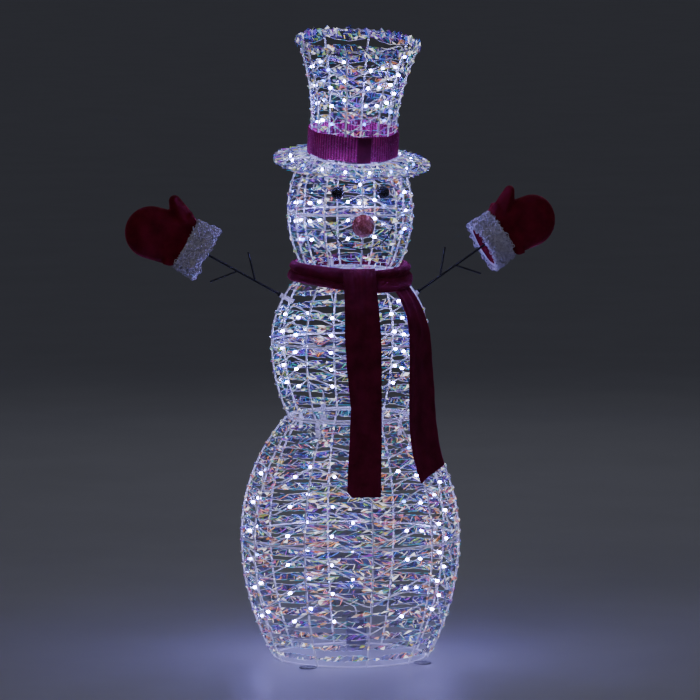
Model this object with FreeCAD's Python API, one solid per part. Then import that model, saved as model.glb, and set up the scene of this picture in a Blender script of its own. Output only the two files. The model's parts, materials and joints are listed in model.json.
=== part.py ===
import FreeCAD, Part
import math
import os

# A standing, lit snowman: white wire cages wound with clear film tape, stacked on spigots, with a
# string of small lamps inside, a top hat, a scarf, and wire arms that end in mittens.
# Millimetres and degrees. +Z is up, the snowman looks along -Y, and z = 0 is the ground.
# An angle is counted from the front (-Y) towards +X.

Vector = FreeCAD.Vector
UP = Vector(0, 0, 1)

# ---- wire, film and lamp string ----
WIRE_R = 1.8
WELD = 0.1
FILM_WIDTH = 13.0
FILM_THICK = 0.8
FILM_END_GAP_DEG = 0.15
# film rows as (height of the first, height of the last, how many); a cage's widest ring lies between rows
LOWER_FILM = ((19.0, 222.3, 10), (243.8, 451.0, 11))
TORSO_FILM = ((482.0, 597.2, 6), (618.8, 714.0, 5))
HEAD_FILM = ((758.0, 844.0, 5), (865.5, 930.0, 4))
CABLE_R = 1.2
CABLE_INSET = 9.0
CABLE_BEND_R = 22.0
LAMP_R = 2.4
LAMP_REACH = 6.6
BRIM_LAMP_R = 2.0
BRIM_LAMP_REACH = 3.0

# ---- the three cages: (radius, height) of the rib centre line at its foot, widest ring and top ----
LOWER_RIBS = 10
LOWER_FOOT = (149.0, 0.6)
LOWER_WIDEST = (209.0, 233.0)
LOWER_TOP = (122.0, 462.0)
TORSO_RIBS = 8
TORSO_FOOT = (119.0, 466.4)
TORSO_WIDEST = (152.0, 608.0)
TORSO_TOP = (90.0, 740.0)
HEAD_RIBS = 10
HEAD_FOOT = (88.0, 744.4)
HEAD_WIDEST = (118.5, 855.0)
HEAD_TOP = (95.0, 954.5)

# ---- hat, in its own frame: z = 0 is the plane of the inner brim ring, z runs up the crown ----
HAT_ORIGIN = Vector(4.0, 0.0, 960.0)
HAT_LEAN_DEG = 8.4
HAT_ROLL_DEG = 1.2
CROWN_RIBS = 8
CROWN_BASE_R = 81.0
CROWN_STRAIGHT = 50.0
CROWN_HEIGHT = 224.0
CROWN_TOP_R = 119.0
BRIM_R = 147.0
BRIM_DROOP = 10.0
HEAD_RING_BELOW_BRIM = 5.5
CROWN_FILM = ((64.0, 213.0, 8),)
BAND_BOTTOM = 6.0
BAND_TOP = 54.0
BAND_THICK = 3.3

# ---- spigots and sockets that locate one section on the next ----
PIN_R = 2.5
PIN_REACH = 26.0
TUBE_OUTER_R = 4.0
TUBE_INNER_R = 2.9
TUBE_LENGTH = 29.0
SPIGOT_ANGLES = (45, 135, 225, 315)

# ---- ground stake loops on the base ring ----
LOOP_ANGLES = (45, 135, 225, 319)
LOOP_R = 15.5
LOOP_WIRE_R = 1.5

# ---- lamp string connectors, at the back of each joint ----
CONNECTOR_ANGLE = 196
CONNECTOR_R = 7.2
CONNECTOR_LENGTH = 24.0
CONNECTOR_BORE_R = 3.4
PLUG_BODY_R = 5.2
PLUG_NOSE_R = 3.0
PLUG_NOSE_LENGTH = 16.0

# ---- arms and mittens: u runs out along the arm from the shoulder, v is across it, upwards ----
SHOULDER = (127.0, 5.9, 694.0)
LEFT_RISE_DEG = 29.0
RIGHT_RISE_DEG = 31.5
ARM_SWEEP_DEG = 11.0
ARM_R = 2.0
ARM_END_U = 262.0
ARM_SOCKET_U = (-20.0, 8.0)
ARM_SOCKET_R = 4.5
ARM_CLEARANCE = 0.35
TWIG_R = 1.6
TWIGS = (((63.0, 0.0), (101.0, 42.0)), ((101.0, 0.0), (137.0, -43.0)))
CUFF_U = (169.0, 212.0)
CUFF_CENTRE_V = -2.5
CUFF_HALF = (53.0, 31.0)
MITTEN_HALF_THICK = 20.0
MITTEN_BORE_R = 2.7
# the mitten's outline as circles (u, v, radius), joined by their outer tangents
WRIST_LOW = (224.5, -41.5, 12.0)
WRIST_HIGH = (224.5, 37.5, 12.0)
PALM = (280.0, -14.5, 50.0)
THUMB_BASE = (240.0, 35.5, 22.0)
THUMB_TIP = (270.0, 59.5, 11.0)

# ---- scarf ----
WRAP_HEIGHTS = (725.0, 763.0)
WRAP_INNER_R = (111.5, 102.5)
WRAP_THICK = 8.5
TAIL_THICK = 7.0
FRONT_TAIL_WIDTH = 64.0
FRONT_TAIL_ANGLE = -3.0
SIDE_TAIL_WIDTH = 88.0
SIDE_TAIL_ANGLE = 42.0
TAIL_CLEARANCE = 6.0
FRONT_TAIL_END = 333.0
SIDE_TAIL_END = 352.0
SIDE_TAIL_SLANT = 30.0

# ---- face ----
EYE_R = 12.5
EYE_ANGLES = (-23.0, 18.3)
EYE_HEIGHT = 899.0
EYE_SINK = 5.0
NOSE_BASE_R = 23.0
NOSE_TIP_R = 4.0
NOSE_LENGTH = 75.0
NOSE_HEIGHT = 837.0
NOSE_DROOP_DEG = 5.0
MOUTH_WIRE_R = 1.25
MOUTH_STAND_OFF = 2.3
MOUTH_END_ANGLE = 31.0
MOUTH_HEIGHTS = (792.0, 838.0)

# ---- control box, behind the film at the foot of the back ----
BOX_ANGLE = 162
BOX_HALF_WIDTH = 18.0
BOX_BACK = 104.0
BOX_JOINT = 129.0
BOX_FACE = 134.0
BOX_HEIGHTS = (6.0, 56.0)
BOX_WALL = 2.2
GASKET_THICK = 1.0
SCREW_R = 2.4
SCREW_INSET = 4.5
SCREW_BOSS_R = 4.4
CLIP_X = 6.0
CLIP_WIDTH = 8.0
CLIP_HEIGHTS = (1.0, 10.5)
CLIP_DEPTH = 13.5
INLET_X = 0.0
INLET_Z = 20.0
INLET_BORE_R = 3.5
INLET_BARREL_R = 6.0
INLET_MOUTH = 144.0
INLET_BORE_LENGTH = 12.0
BUTTON_Z = 43.0
BUTTON_R = 6.0
BUTTON_CLEARANCE = 0.4
BUTTON_PROUD = 3.0
SWITCH_HEIGHT = 11.4


def at(angle, radius, z):
    """The point at an angle from the front, a distance from the axis and a height."""
    turn = math.radians(angle)
    return Vector(radius * math.sin(turn), -radius * math.cos(turn), z)


def arc_radius(widest, end, z):
    """Distance from the axis of the arc that leaves the widest ring upright and meets end."""
    depth = widest[0] - end[0]
    rise = end[1] - widest[1]
    curve = (depth**2 + rise**2) / (2 * depth)
    return widest[0] - curve + math.sqrt(curve**2 - (z - widest[1]) ** 2)


def cage_radius(foot, widest, top, z):
    return arc_radius(widest, foot if z < widest[1] else top, z)


def arc_through(start, middle, end):
    return Part.Arc(start, middle, end).toShape()


def outline_arc(angle, widest, end):
    """The rib's centre line from the widest ring to one end, as an arc."""
    half = (widest[1] + end[1]) / 2
    middle = at(angle, arc_radius(widest, end, half), half)
    return at(angle, *widest), middle, at(angle, *end)


def swept(edges, radius):
    """A round wire along a path of lines and arcs that are given in order."""
    first = edges[0]
    begin = first.valueAt(first.FirstParameter)
    heading = first.tangentAt(first.FirstParameter)
    section = Part.Wire(Part.makeCircle(radius, begin, heading))
    return Part.Wire(edges).makePipeShell([section], True, False)


def rod(start, end, radius):
    along = end - start
    return Part.makeCylinder(radius, along.Length, start, along)


def tube(start, end, outer, inner):
    along = end - start
    overrun = along.normalize() * 1.0
    return rod(start, end, outer).cut(rod(start - overrun, end + overrun, inner))


def ring(radius, z, wire_r=WIRE_R, centre=Vector(0, 0, 0)):
    return Part.makeTorus(radius, wire_r, centre + UP * z, UP)


def rib(angle, foot, widest, top):
    """One cage rib, from foot to top through the widest ring."""
    a, b, c = outline_arc(angle, widest, foot)
    lower = arc_through(c, b, a)
    upper = arc_through(*outline_arc(angle, widest, top))
    return swept([lower, upper], WIRE_R)


def film_strip(radii, heights, angle_a, angle_b):
    """One flat bay of film between two ribs, laid against their outer sides."""
    slope = math.atan2(radii[1] - radii[0], heights[1] - heights[0])
    offset = WIRE_R / math.cos(slope) + 0.05
    a = angle_a + FILM_END_GAP_DEG
    b = angle_b - FILM_END_GAP_DEG
    corners = [
        at(a, radii[0] + offset, heights[0]),
        at(b, radii[0] + offset, heights[0]),
        at(b, radii[1] + offset, heights[1]),
        at(a, radii[1] + offset, heights[1]),
    ]
    face = Part.Face(Part.makePolygon(corners + corners[:1]))
    outward = (corners[1] - corners[0]).cross(corners[3] - corners[0]).normalize()
    if outward.dot(at((a + b) / 2, 1, 0)) < 0:
        outward = outward * -1
    return face.extrude(outward * FILM_THICK)


def film_rows(rib_count, radius_at, groups, first_angle=0):
    """Rows of film round a cage, one strip to a bay, in evenly spaced groups of rows."""
    strips = []
    bay = 360 / rib_count
    for first, last, rows in groups:
        for row in range(rows):
            middle = first + (last - first) * row / (rows - 1)
            lean = (radius_at(middle + 1) - radius_at(middle - 1)) / 2
            rise = FILM_WIDTH / 2 / math.hypot(1, lean)
            heights = (middle - rise, middle + rise)
            radii = tuple(radius_at(z) for z in heights)
            for k in range(rib_count):
                angle = first_angle + k * bay
                strips.append(film_strip(radii, heights, angle, angle + bay))
    return strips


def bend(before, corner, after, bend_r):
    """Where the arc that rounds a corner starts, passes and ends."""
    came = (corner - before).normalize()
    goes = (after - corner).normalize()
    turn = came.getAngle(goes)
    shorter = min((corner - before).Length, (after - corner).Length)
    radius = min(bend_r, 0.45 * shorter / math.tan(turn / 2))
    reach = radius * math.tan(turn / 2)
    inward = (goes - came).normalize()
    centre = corner + inward * (radius / math.cos(turn / 2))
    return corner - came * reach, centre - inward * radius, corner + goes * reach, radius


def cable(points, radius=CABLE_R, bend_r=CABLE_BEND_R):
    """A lamp cable through points, straight between rounded corners. Returns it and its runs."""
    edges = []
    runs = []
    begin = points[0]
    tightest = bend_r
    for before, corner, after in zip(points, points[1:], points[2:]):
        start, middle, end, used = bend(before, corner, after, bend_r)
        tightest = min(tightest, used)
        edges.append(Part.LineSegment(begin, start).toShape())
        edges.append(arc_through(start, middle, end))
        runs.append((begin, start))
        begin = end
    edges.append(Part.LineSegment(begin, points[-1]).toShape())
    runs.append((begin, points[-1]))
    solid = swept(edges, radius)
    length = sum(e.Length for e in edges)
    expected = length * math.pi * radius**2
    print(f"cable {length:.0f} mm, tightest bend {tightest:.1f} mm, volume {solid.Volume / expected:.4f}")
    return solid, runs


def zigzag(rib_count, radius_at, first_angle, laps, heights, swing):
    """Points where the lamp cable is tied inside the ribs, climbing as it goes round."""
    steps = int(laps * rib_count)
    points = []
    for n in range(steps + 1):
        z = heights[0] + (heights[1] - heights[0]) * n / steps
        z += swing * (-1 if n % 2 else 1)
        points.append(at(first_angle + n * 360 / rib_count, radius_at(z) - CABLE_INSET, z))
    return points


def lamp(base, outward, reach, radius):
    """A small domed lamp, turned in one piece, from its base to the tip of its dome."""
    side = outward.cross(Vector(0.3, 0.5, 0.8)).normalize()
    rim = base + side * radius
    shoulder = base + outward * (reach - radius)
    dome = (side + outward).normalize() * radius
    tip = shoulder + outward * radius
    outline = [
        Part.makeLine(base, rim),
        Part.makeLine(rim, shoulder + side * radius),
        arc_through(shoulder + side * radius, shoulder + dome, tip),
        Part.makeLine(tip, base),
    ]
    return Part.Face(Part.Wire(outline)).revolve(base, outward, 360)


def lamps_on(runs, share=(0.36, 0.64)):
    """One lamp on each run of the cable, nearer one end and the other by turns."""
    solids = []
    for n, (start, end) in enumerate(runs):
        place = start + (end - start) * share[n % 2]
        outward = Vector(place.x, place.y, 0).normalize()
        along = (end - start).normalize()
        outward = (outward - along * outward.dot(along)).normalize()
        base = place + outward * (CABLE_R * 0.5)
        solids.append(lamp(base, outward, LAMP_REACH - CABLE_R * 0.5, LAMP_R))
    return solids


def hat_frame(shape):
    """Moves a shape from the hat's own frame to its leaning place on the head."""
    moved = shape.copy()
    lean = FreeCAD.Rotation(Vector(1, 0, 0), HAT_LEAN_DEG)
    roll = FreeCAD.Rotation(Vector(0, 1, 0), HAT_ROLL_DEG)
    placement = FreeCAD.Placement(HAT_ORIGIN, roll.multiply(lean))
    moved.transformShape(placement.toMatrix(), True)
    return moved


def hat_axis():
    return hat_frame(Part.makeLine(Vector(0, 0, 0), UP)).Edges[0].tangentAt(0)


def hat_point(point):
    return hat_frame(Part.Vertex(point)).Vertexes[0].Point


def write(name, solids):
    """Writes a node's solids as one STEP file."""
    solids = solids if isinstance(solids, list) else [solids]
    for number, solid in enumerate(solids):
        if not solid.isValid() or solid.Volume <= 0:
            print(f"{name} solid {number} is not valid")
    shape = solids[0] if len(solids) == 1 else Part.makeCompound(solids)
    shape.exportStep(f"parts/{name}.step")


def spigots(ring_r, ring_z, frame=lambda shape: shape, reach=PIN_REACH):
    """Round pins that hang from an upper ring into the tubes below it."""
    pins = []
    for angle in SPIGOT_ANGLES:
        pins.append(frame(rod(at(angle, ring_r, ring_z), at(angle, ring_r, ring_z - reach), PIN_R)))
    return pins


def sockets(tube_r, top, frame=lambda shape: shape):
    """Short upright tubes inside a ring, which take the pins of the section above."""
    tubes = []
    for angle in SPIGOT_ANGLES:
        high = at(angle, tube_r, top)
        low = at(angle, tube_r, top - TUBE_LENGTH)
        tubes.append(frame(tube(low, high, TUBE_OUTER_R, TUBE_INNER_R)))
    return tubes


def connector_socket(radius, top, frame=lambda shape: shape):
    """The half of a lamp string connector that stays in the lower section, open at its top."""
    high = at(CONNECTOR_ANGLE, radius, top)
    low = at(CONNECTOR_ANGLE, radius, top - CONNECTOR_LENGTH)
    body = rod(low, high, CONNECTOR_R)
    return frame(body.cut(rod(low + UP * 4, high + UP, CONNECTOR_BORE_R)))


def connector_plug(radius, bottom, body_length, frame=lambda shape: shape):
    """The half of a lamp string connector that hangs from the upper section."""
    low = at(CONNECTOR_ANGLE, radius, bottom)
    body = rod(low, low + UP * body_length, PLUG_BODY_R)
    nose = rod(low - UP * PLUG_NOSE_LENGTH, low + UP, PLUG_NOSE_R)
    return frame(body.fuse(nose).removeSplitter())


# ---------------------------------------------------------------- lower section


def lower_radius(z):
    return cage_radius(LOWER_FOOT, LOWER_WIDEST, LOWER_TOP, z)


def box_frame(shape):
    """Turns a shape built with its outside facing -Y round to the control box's angle."""
    turned = shape.copy()
    turned.rotate(Vector(0, 0, 0), UP, BOX_ANGLE)
    return turned


def box_block(x_half, near, far, low, high):
    """A block in the box's own frame, from radius near to radius far."""
    return Part.makeBox(2 * x_half, far - near, high - low, Vector(-x_half, -far, low))


def box_corners():
    x = BOX_HALF_WIDTH - SCREW_INSET
    low = BOX_HEIGHTS[0] + SCREW_INSET
    high = BOX_HEIGHTS[1] - SCREW_INSET
    return [(side * x, z) for side in (-1, 1) for z in (low, high)]


def outward_rod(x, z, near, far, radius):
    """A rod in the box's own frame that points out of its face."""
    return rod(Vector(x, -near, z), Vector(x, -far, z), radius)


def make_control_box():
    low, high = BOX_HEIGHTS
    wall = BOX_WALL
    tray_mouth = BOX_JOINT - GASKET_THICK
    tray = box_block(BOX_HALF_WIDTH, BOX_BACK, tray_mouth, low, high)
    hollow = box_block(BOX_HALF_WIDTH - wall, BOX_BACK + wall, tray_mouth + 1, low + wall, high - wall)
    tray = tray.cut(hollow)
    gasket = box_block(BOX_HALF_WIDTH, tray_mouth, BOX_JOINT, low, high)
    gasket = gasket.cut(box_block(BOX_HALF_WIDTH - wall, BOX_BACK, BOX_FACE, low + wall, high - wall))
    lid = box_block(BOX_HALF_WIDTH, BOX_JOINT, BOX_FACE, low, high)
    inside = box_block(BOX_HALF_WIDTH - wall, BOX_JOINT - 1, BOX_FACE - wall, low + wall, high - wall)
    lid = lid.cut(inside)
    screws = []
    for x, z in box_corners():
        boss = outward_rod(x, z, BOX_BACK + wall, tray_mouth, SCREW_BOSS_R)
        lid_boss = outward_rod(x, z, BOX_JOINT, BOX_FACE - wall, SCREW_BOSS_R)
        hole = outward_rod(x, z, BOX_BACK + 8, BOX_FACE + 1, 1.5)
        inner = box_block(BOX_HALF_WIDTH - 0.2, BOX_BACK, BOX_FACE, low + 0.2, high - 0.2)
        tray = tray.fuse(boss.common(inner)).cut(hole)
        lid = lid.fuse(lid_boss.common(inner)).cut(hole)
        gasket = gasket.cut(outward_rod(x, z, BOX_BACK, BOX_FACE, 1.5))
        head = outward_rod(x, z, BOX_FACE, BOX_FACE + 1.6, SCREW_R)
        slot = Part.makeBox(1.0, 1.0, 2 * SCREW_R + 1, Vector(x - 0.5, -BOX_FACE - 1.8, z - SCREW_R - 0.5))
        shank = outward_rod(x, z, BOX_BACK + 9, BOX_FACE, 1.45)
        screws.append(head.fuse(shank).cut(slot))
    tray = tray.cut(rod(Vector(0, -BOX_BACK - 12, high - 4), Vector(0, -BOX_BACK - 12, high + 1), CABLE_R + 0.1))
    lid = lid.cut(outward_rod(INLET_X, INLET_Z, BOX_JOINT - 1, BOX_FACE + 1, INLET_BARREL_R - 1))
    lid = lid.cut(outward_rod(0, BUTTON_Z, BOX_JOINT - 1, BOX_FACE + 1, BUTTON_R + BUTTON_CLEARANCE))
    board = box_block(BOX_HALF_WIDTH - 9, BOX_BACK + 7, BOX_BACK + 8.6, low + 8, high - 8)
    for x, z, height, radius in ((-5, 21, 5, 3.5), (5, 30, 4, 3), (0, BUTTON_Z, SWITCH_HEIGHT, 3)):
        board = board.fuse(outward_rod(x, z, BOX_BACK + 8.6, BOX_BACK + 8.6 + height, radius))
    inlet = outward_rod(INLET_X, INLET_Z, BOX_JOINT, BOX_FACE + 0.1, INLET_BARREL_R - 1)
    inlet = inlet.fuse(outward_rod(INLET_X, INLET_Z, BOX_FACE, INLET_MOUTH, INLET_BARREL_R))
    inlet = inlet.fuse(outward_rod(INLET_X, INLET_Z, BOX_FACE, BOX_FACE + 2.2, INLET_BARREL_R + 2.4))
    bottom = INLET_MOUTH - INLET_BORE_LENGTH
    inlet = inlet.cut(outward_rod(INLET_X, INLET_Z, bottom, INLET_MOUTH + 1, INLET_BORE_R))
    button = outward_rod(0, BUTTON_Z, BOX_JOINT - 3.0, BOX_FACE + BUTTON_PROUD, BUTTON_R)
    behind_lid = BOX_FACE - wall - BUTTON_CLEARANCE
    flange = outward_rod(0, BUTTON_Z, behind_lid - 1.6, behind_lid, BUTTON_R + 1.8)
    button = button.fuse(flange).removeSplitter()
    clips = []
    for x in (-CLIP_X, CLIP_X):
        corner = Vector(x - CLIP_WIDTH / 2, -BOX_FACE - CLIP_DEPTH, CLIP_HEIGHTS[0])
        clip = Part.makeBox(CLIP_WIDTH, CLIP_DEPTH, CLIP_HEIGHTS[1] - CLIP_HEIGHTS[0], corner)
        groove = ring(base_ring_radius(), WIRE_R, WIRE_R + 0.05)
        clips.append(clip.cut(groove))
    write("control_box_tray", box_frame(tray))
    write("control_box_gasket", box_frame(gasket))
    write("control_box_lid", box_frame(lid))
    write("control_box_screws", [box_frame(s) for s in screws])
    write("control_circuit_board", box_frame(board))
    write("control_box_clips", [box_frame(c) for c in clips])
    write("power_inlet", box_frame(inlet))
    write("mode_button", box_frame(button))


def base_ring_radius():
    return LOWER_FOOT[0] - 2 * WIRE_R + WELD


def ring_radius(end):
    """A ring welded inside the ribs at one end or at the widest place."""
    return end[0] - 2 * WIRE_R + WELD


def make_lower_section():
    write("base_ring", ring(base_ring_radius(), WIRE_R))
    write("lower_mid_ring", ring(ring_radius(LOWER_WIDEST), LOWER_WIDEST[1]))
    write("waist_ring", ring(ring_radius(LOWER_TOP), LOWER_TOP[1]))
    bay = 360 / LOWER_RIBS
    write("lower_ribs", [rib(k * bay, LOWER_FOOT, LOWER_WIDEST, LOWER_TOP) for k in range(LOWER_RIBS)])
    loops = []
    for angle in LOOP_ANGLES:
        centre = at(angle, base_ring_radius() + WIRE_R + LOOP_R + LOOP_WIRE_R - 0.2, 0)
        loops.append(ring(LOOP_R, LOOP_WIRE_R, LOOP_WIRE_R, centre))
    write("stake_loops", loops)
    tube_r = ring_radius(LOWER_TOP) - WIRE_R - TUBE_OUTER_R + WELD
    write("waist_sockets", sockets(tube_r, LOWER_TOP[1] + 1))
    strips = film_rows(LOWER_RIBS, lower_radius, LOWER_FILM)
    window = box_frame(box_block(BOX_HALF_WIDTH + 2, 100, 160, 0, BOX_HEIGHTS[1] + 16))
    strips = [s for s in strips if s.BoundBox.ZMin > 100 or not s.common(window).Volume]
    write("lower_film", strips)
    plug_r = ring_radius(LOWER_TOP) - WIRE_R - CONNECTOR_R + WELD
    socket_top = LOWER_TOP[1] + 1
    write("lower_connector_socket", connector_socket(plug_r, socket_top))
    start = at(BOX_ANGLE, BOX_BACK + 12, BOX_HEIGHTS[1] - 1)
    points = [start, start + UP * 22]
    points += zigzag(LOWER_RIBS, lower_radius, 180, 5.9, (64, 385), 26)
    points.append(at(CONNECTOR_ANGLE, plug_r - 3, socket_top - 68))
    points.append(at(CONNECTOR_ANGLE, plug_r, socket_top - CONNECTOR_LENGTH))
    solid, runs = cable(points)
    write("lower_lamp_cable", solid)
    write("lower_lamps", lamps_on(runs[2:-2]))
    make_control_box()


# ---------------------------------------------------------------- torso section


def torso_radius(z):
    return cage_radius(TORSO_FOOT, TORSO_WIDEST, TORSO_TOP, z)


def arm_axis(side):
    """Unit direction of an arm: side -1 is the snowman's -X arm, +1 its +X arm."""
    rise = math.radians(LEFT_RISE_DEG if side < 0 else RIGHT_RISE_DEG)
    sweep = math.radians(ARM_SWEEP_DEG)
    return Vector(
        side * math.cos(rise) * math.cos(sweep),
        math.cos(rise) * math.sin(sweep),
        math.sin(rise),
    )


def arm_point(side, u, v=0.0, w=0.0):
    """The point u along an arm from its shoulder, v across it upwards and w to the back."""
    along = arm_axis(side)
    level = UP.cross(along).normalize() * side
    across = along.cross(level) * side
    origin = Vector(side * SHOULDER[0], SHOULDER[1], SHOULDER[2])
    return origin + along * u + across * v + level * w


def arm_socket(side):
    start = arm_point(side, ARM_SOCKET_U[0])
    end = arm_point(side, ARM_SOCKET_U[1])
    return tube(start, end, ARM_SOCKET_R, ARM_R + ARM_CLEARANCE)


def make_torso_section():
    rings = [
        ring(ring_radius(TORSO_FOOT), TORSO_FOOT[1]),
        ring(ring_radius(TORSO_WIDEST), TORSO_WIDEST[1]),
        ring(ring_radius(TORSO_TOP), TORSO_TOP[1]),
    ]
    write("torso_rings", rings)
    bay = 360 / TORSO_RIBS
    write("torso_ribs", [rib(k * bay, TORSO_FOOT, TORSO_WIDEST, TORSO_TOP) for k in range(TORSO_RIBS)])
    waist_r = ring_radius(LOWER_TOP) - WIRE_R - TUBE_OUTER_R + WELD
    write("torso_spigots", spigots(waist_r, TORSO_FOOT[1]))
    neck_r = ring_radius(TORSO_TOP) - WIRE_R - TUBE_OUTER_R + WELD
    write("neck_sockets", sockets(neck_r, TORSO_TOP[1] + 1))
    arm_sockets = [arm_socket(side) for side in (-1, 1)]
    write("arm_sockets", arm_sockets)
    strips = film_rows(TORSO_RIBS, torso_radius, TORSO_FILM)
    strips = [s for s in strips if min(s.distToShape(a)[0] for a in arm_sockets) > 0.3]
    write("torso_film", strips)
    waist_plug_r = ring_radius(LOWER_TOP) - WIRE_R - CONNECTOR_R + WELD
    neck_plug_r = ring_radius(TORSO_TOP) - WIRE_R - CONNECTOR_R + WELD
    plug_bottom = LOWER_TOP[1] + 1.6
    write("torso_connector_plug", connector_plug(waist_plug_r, plug_bottom, 22))
    socket_top = TORSO_TOP[1] + 1
    write("torso_connector_socket", connector_socket(neck_plug_r, socket_top))
    start = at(CONNECTOR_ANGLE, waist_plug_r, plug_bottom + 22)
    points = [start, start + UP * 16]
    points += zigzag(TORSO_RIBS, torso_radius, 225, 4.9, (520, 676), 22)
    points.append(at(CONNECTOR_ANGLE, neck_plug_r, socket_top - 48))
    points.append(at(CONNECTOR_ANGLE, neck_plug_r, socket_top - CONNECTOR_LENGTH))
    solid, runs = cable(points)
    write("torso_lamp_cable", solid)
    write("torso_lamps", lamps_on(runs[2:-2]))


# ---------------------------------------------------------------- scarf


def make_neck_wrap():
    low, high = WRAP_HEIGHTS
    inner_low, inner_high = WRAP_INNER_R
    middle = (low + high) / 2
    outer_low = Vector(inner_low + WRAP_THICK * 0.8, 0, low + 3)
    outer_high = Vector(inner_high + WRAP_THICK * 0.8, 0, high - 3)
    bulge = Vector((inner_low + inner_high) / 2 + WRAP_THICK, 0, middle)
    inside_low = Vector(inner_low, 0, low)
    inside_high = Vector(inner_high, 0, high)
    edges = [
        Part.LineSegment(inside_high, inside_low).toShape(),
        Part.LineSegment(inside_low, outer_low).toShape(),
        arc_through(outer_low, bulge, outer_high),
        Part.LineSegment(outer_high, inside_high).toShape(),
    ]
    wrap = Part.Face(Part.Wire(edges)).revolve(Vector(0, 0, 0), UP, 360)
    return Part.Solid(wrap) if wrap.ShapeType == "Shell" else wrap


def tail_line(end_z):
    """Inner face of a hanging tail as (radius, height): over the wrap, the chest and the lower cage."""
    lift = WIRE_R + TAIL_CLEARANCE
    line = [
        (sum(WRAP_INNER_R) / 2 + WRAP_THICK + 1.0, WRAP_HEIGHTS[1] - 6),
        (WRAP_INNER_R[0] + WRAP_THICK + 1.0, WRAP_HEIGHTS[0] + 3),
    ]
    line += [(torso_radius(z) + lift, z) for z in (704.0, 686.0, 666.0, 640.0, TORSO_WIDEST[1])]
    chest = TORSO_WIDEST[0] + lift
    hip = max(lower_radius(z) for z in (end_z, end_z + 30)) + lift
    line += [
        (chest + 1, 520.0),
        (chest + 3, 455.0),
        (max(lower_radius(400.0) + lift, chest + 8), 400.0),
        (hip, end_z),
    ]
    return line


def tail(angle, width, end_z, slant=0.0):
    """A scarf tail: its side outline swept across its width, with the lower edge cut on a slant."""
    inner = [Vector(0, -r, z) for r, z in tail_line(end_z)]
    outer = [p + Vector(0, -TAIL_THICK, 0) for p in inner]
    outline = inner + outer[::-1]
    face = Part.Face(Part.makePolygon(outline + outline[:1]))
    solid = face.extrude(Vector(width, 0, 0))
    solid.translate(Vector(-width / 2, 0, 0))
    if slant:
        corner = Vector(width / 2 + 1, 0, end_z + slant)
        other = Vector(-width / 2 - 1, 0, end_z)
        below = Vector(0, 0, -60)
        outline = [other, corner, corner + below, other + below, other]
        wedge = Part.Face(Part.makePolygon(outline)).extrude(Vector(0, -300, 0))
        solid = solid.cut(wedge)
    solid.rotate(Vector(0, 0, 0), UP, angle)
    return solid


def make_scarf():
    write("scarf_neck_wrap", make_neck_wrap())
    write("scarf_front_tail", tail(FRONT_TAIL_ANGLE, FRONT_TAIL_WIDTH, FRONT_TAIL_END))
    write("scarf_side_tail", tail(SIDE_TAIL_ANGLE, SIDE_TAIL_WIDTH, SIDE_TAIL_END, SIDE_TAIL_SLANT))


# ---------------------------------------------------------------- head section


def head_radius(z):
    return cage_radius(HEAD_FOOT, HEAD_WIDEST, HEAD_TOP, z)


def head_rib_top(angle):
    """Where a head rib meets the leaning crown ring, as (radius, height)."""
    best = None
    for n in range(-8, 9):
        point = hat_point(at(angle + n * 0.5, HEAD_TOP[0], -HEAD_RING_BELOW_BRIM))
        flat = math.degrees(math.atan2(point.x, -point.y))
        miss = abs((flat - angle + 180) % 360 - 180)
        if best is None or miss < best[0]:
            best = (miss, math.hypot(point.x, point.y), point.z)
    return best[1], best[2]


def make_face():
    eyes = []
    for angle in EYE_ANGLES:
        centre = at(angle, head_radius(EYE_HEIGHT) + WIRE_R + EYE_R - EYE_SINK, EYE_HEIGHT)
        eyes.append(Part.makeSphere(EYE_R, centre))
    write("eyes", eyes)
    base = at(0, head_radius(NOSE_HEIGHT) + WIRE_R - 0.2, NOSE_HEIGHT)
    droop = math.radians(NOSE_DROOP_DEG)
    forward = Vector(0, -math.cos(droop), -math.sin(droop))
    cone = Part.makeCone(NOSE_BASE_R, NOSE_TIP_R * 0.8, NOSE_LENGTH - NOSE_TIP_R, base, forward)
    knob = Part.makeSphere(NOSE_TIP_R, base + forward * (NOSE_LENGTH - NOSE_TIP_R))
    write("nose", cone.fuse(knob))
    low, high = MOUTH_HEIGHTS
    left = at(-MOUTH_END_ANGLE, head_radius(high) + MOUTH_STAND_OFF, high)
    right = at(MOUTH_END_ANGLE, head_radius(high) + MOUTH_STAND_OFF, high)
    lowest = at(0, head_radius(low) + MOUTH_STAND_OFF + 0.6, low)
    write("mouth_wire", swept([arc_through(left, lowest, right)], MOUTH_WIRE_R))


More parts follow.
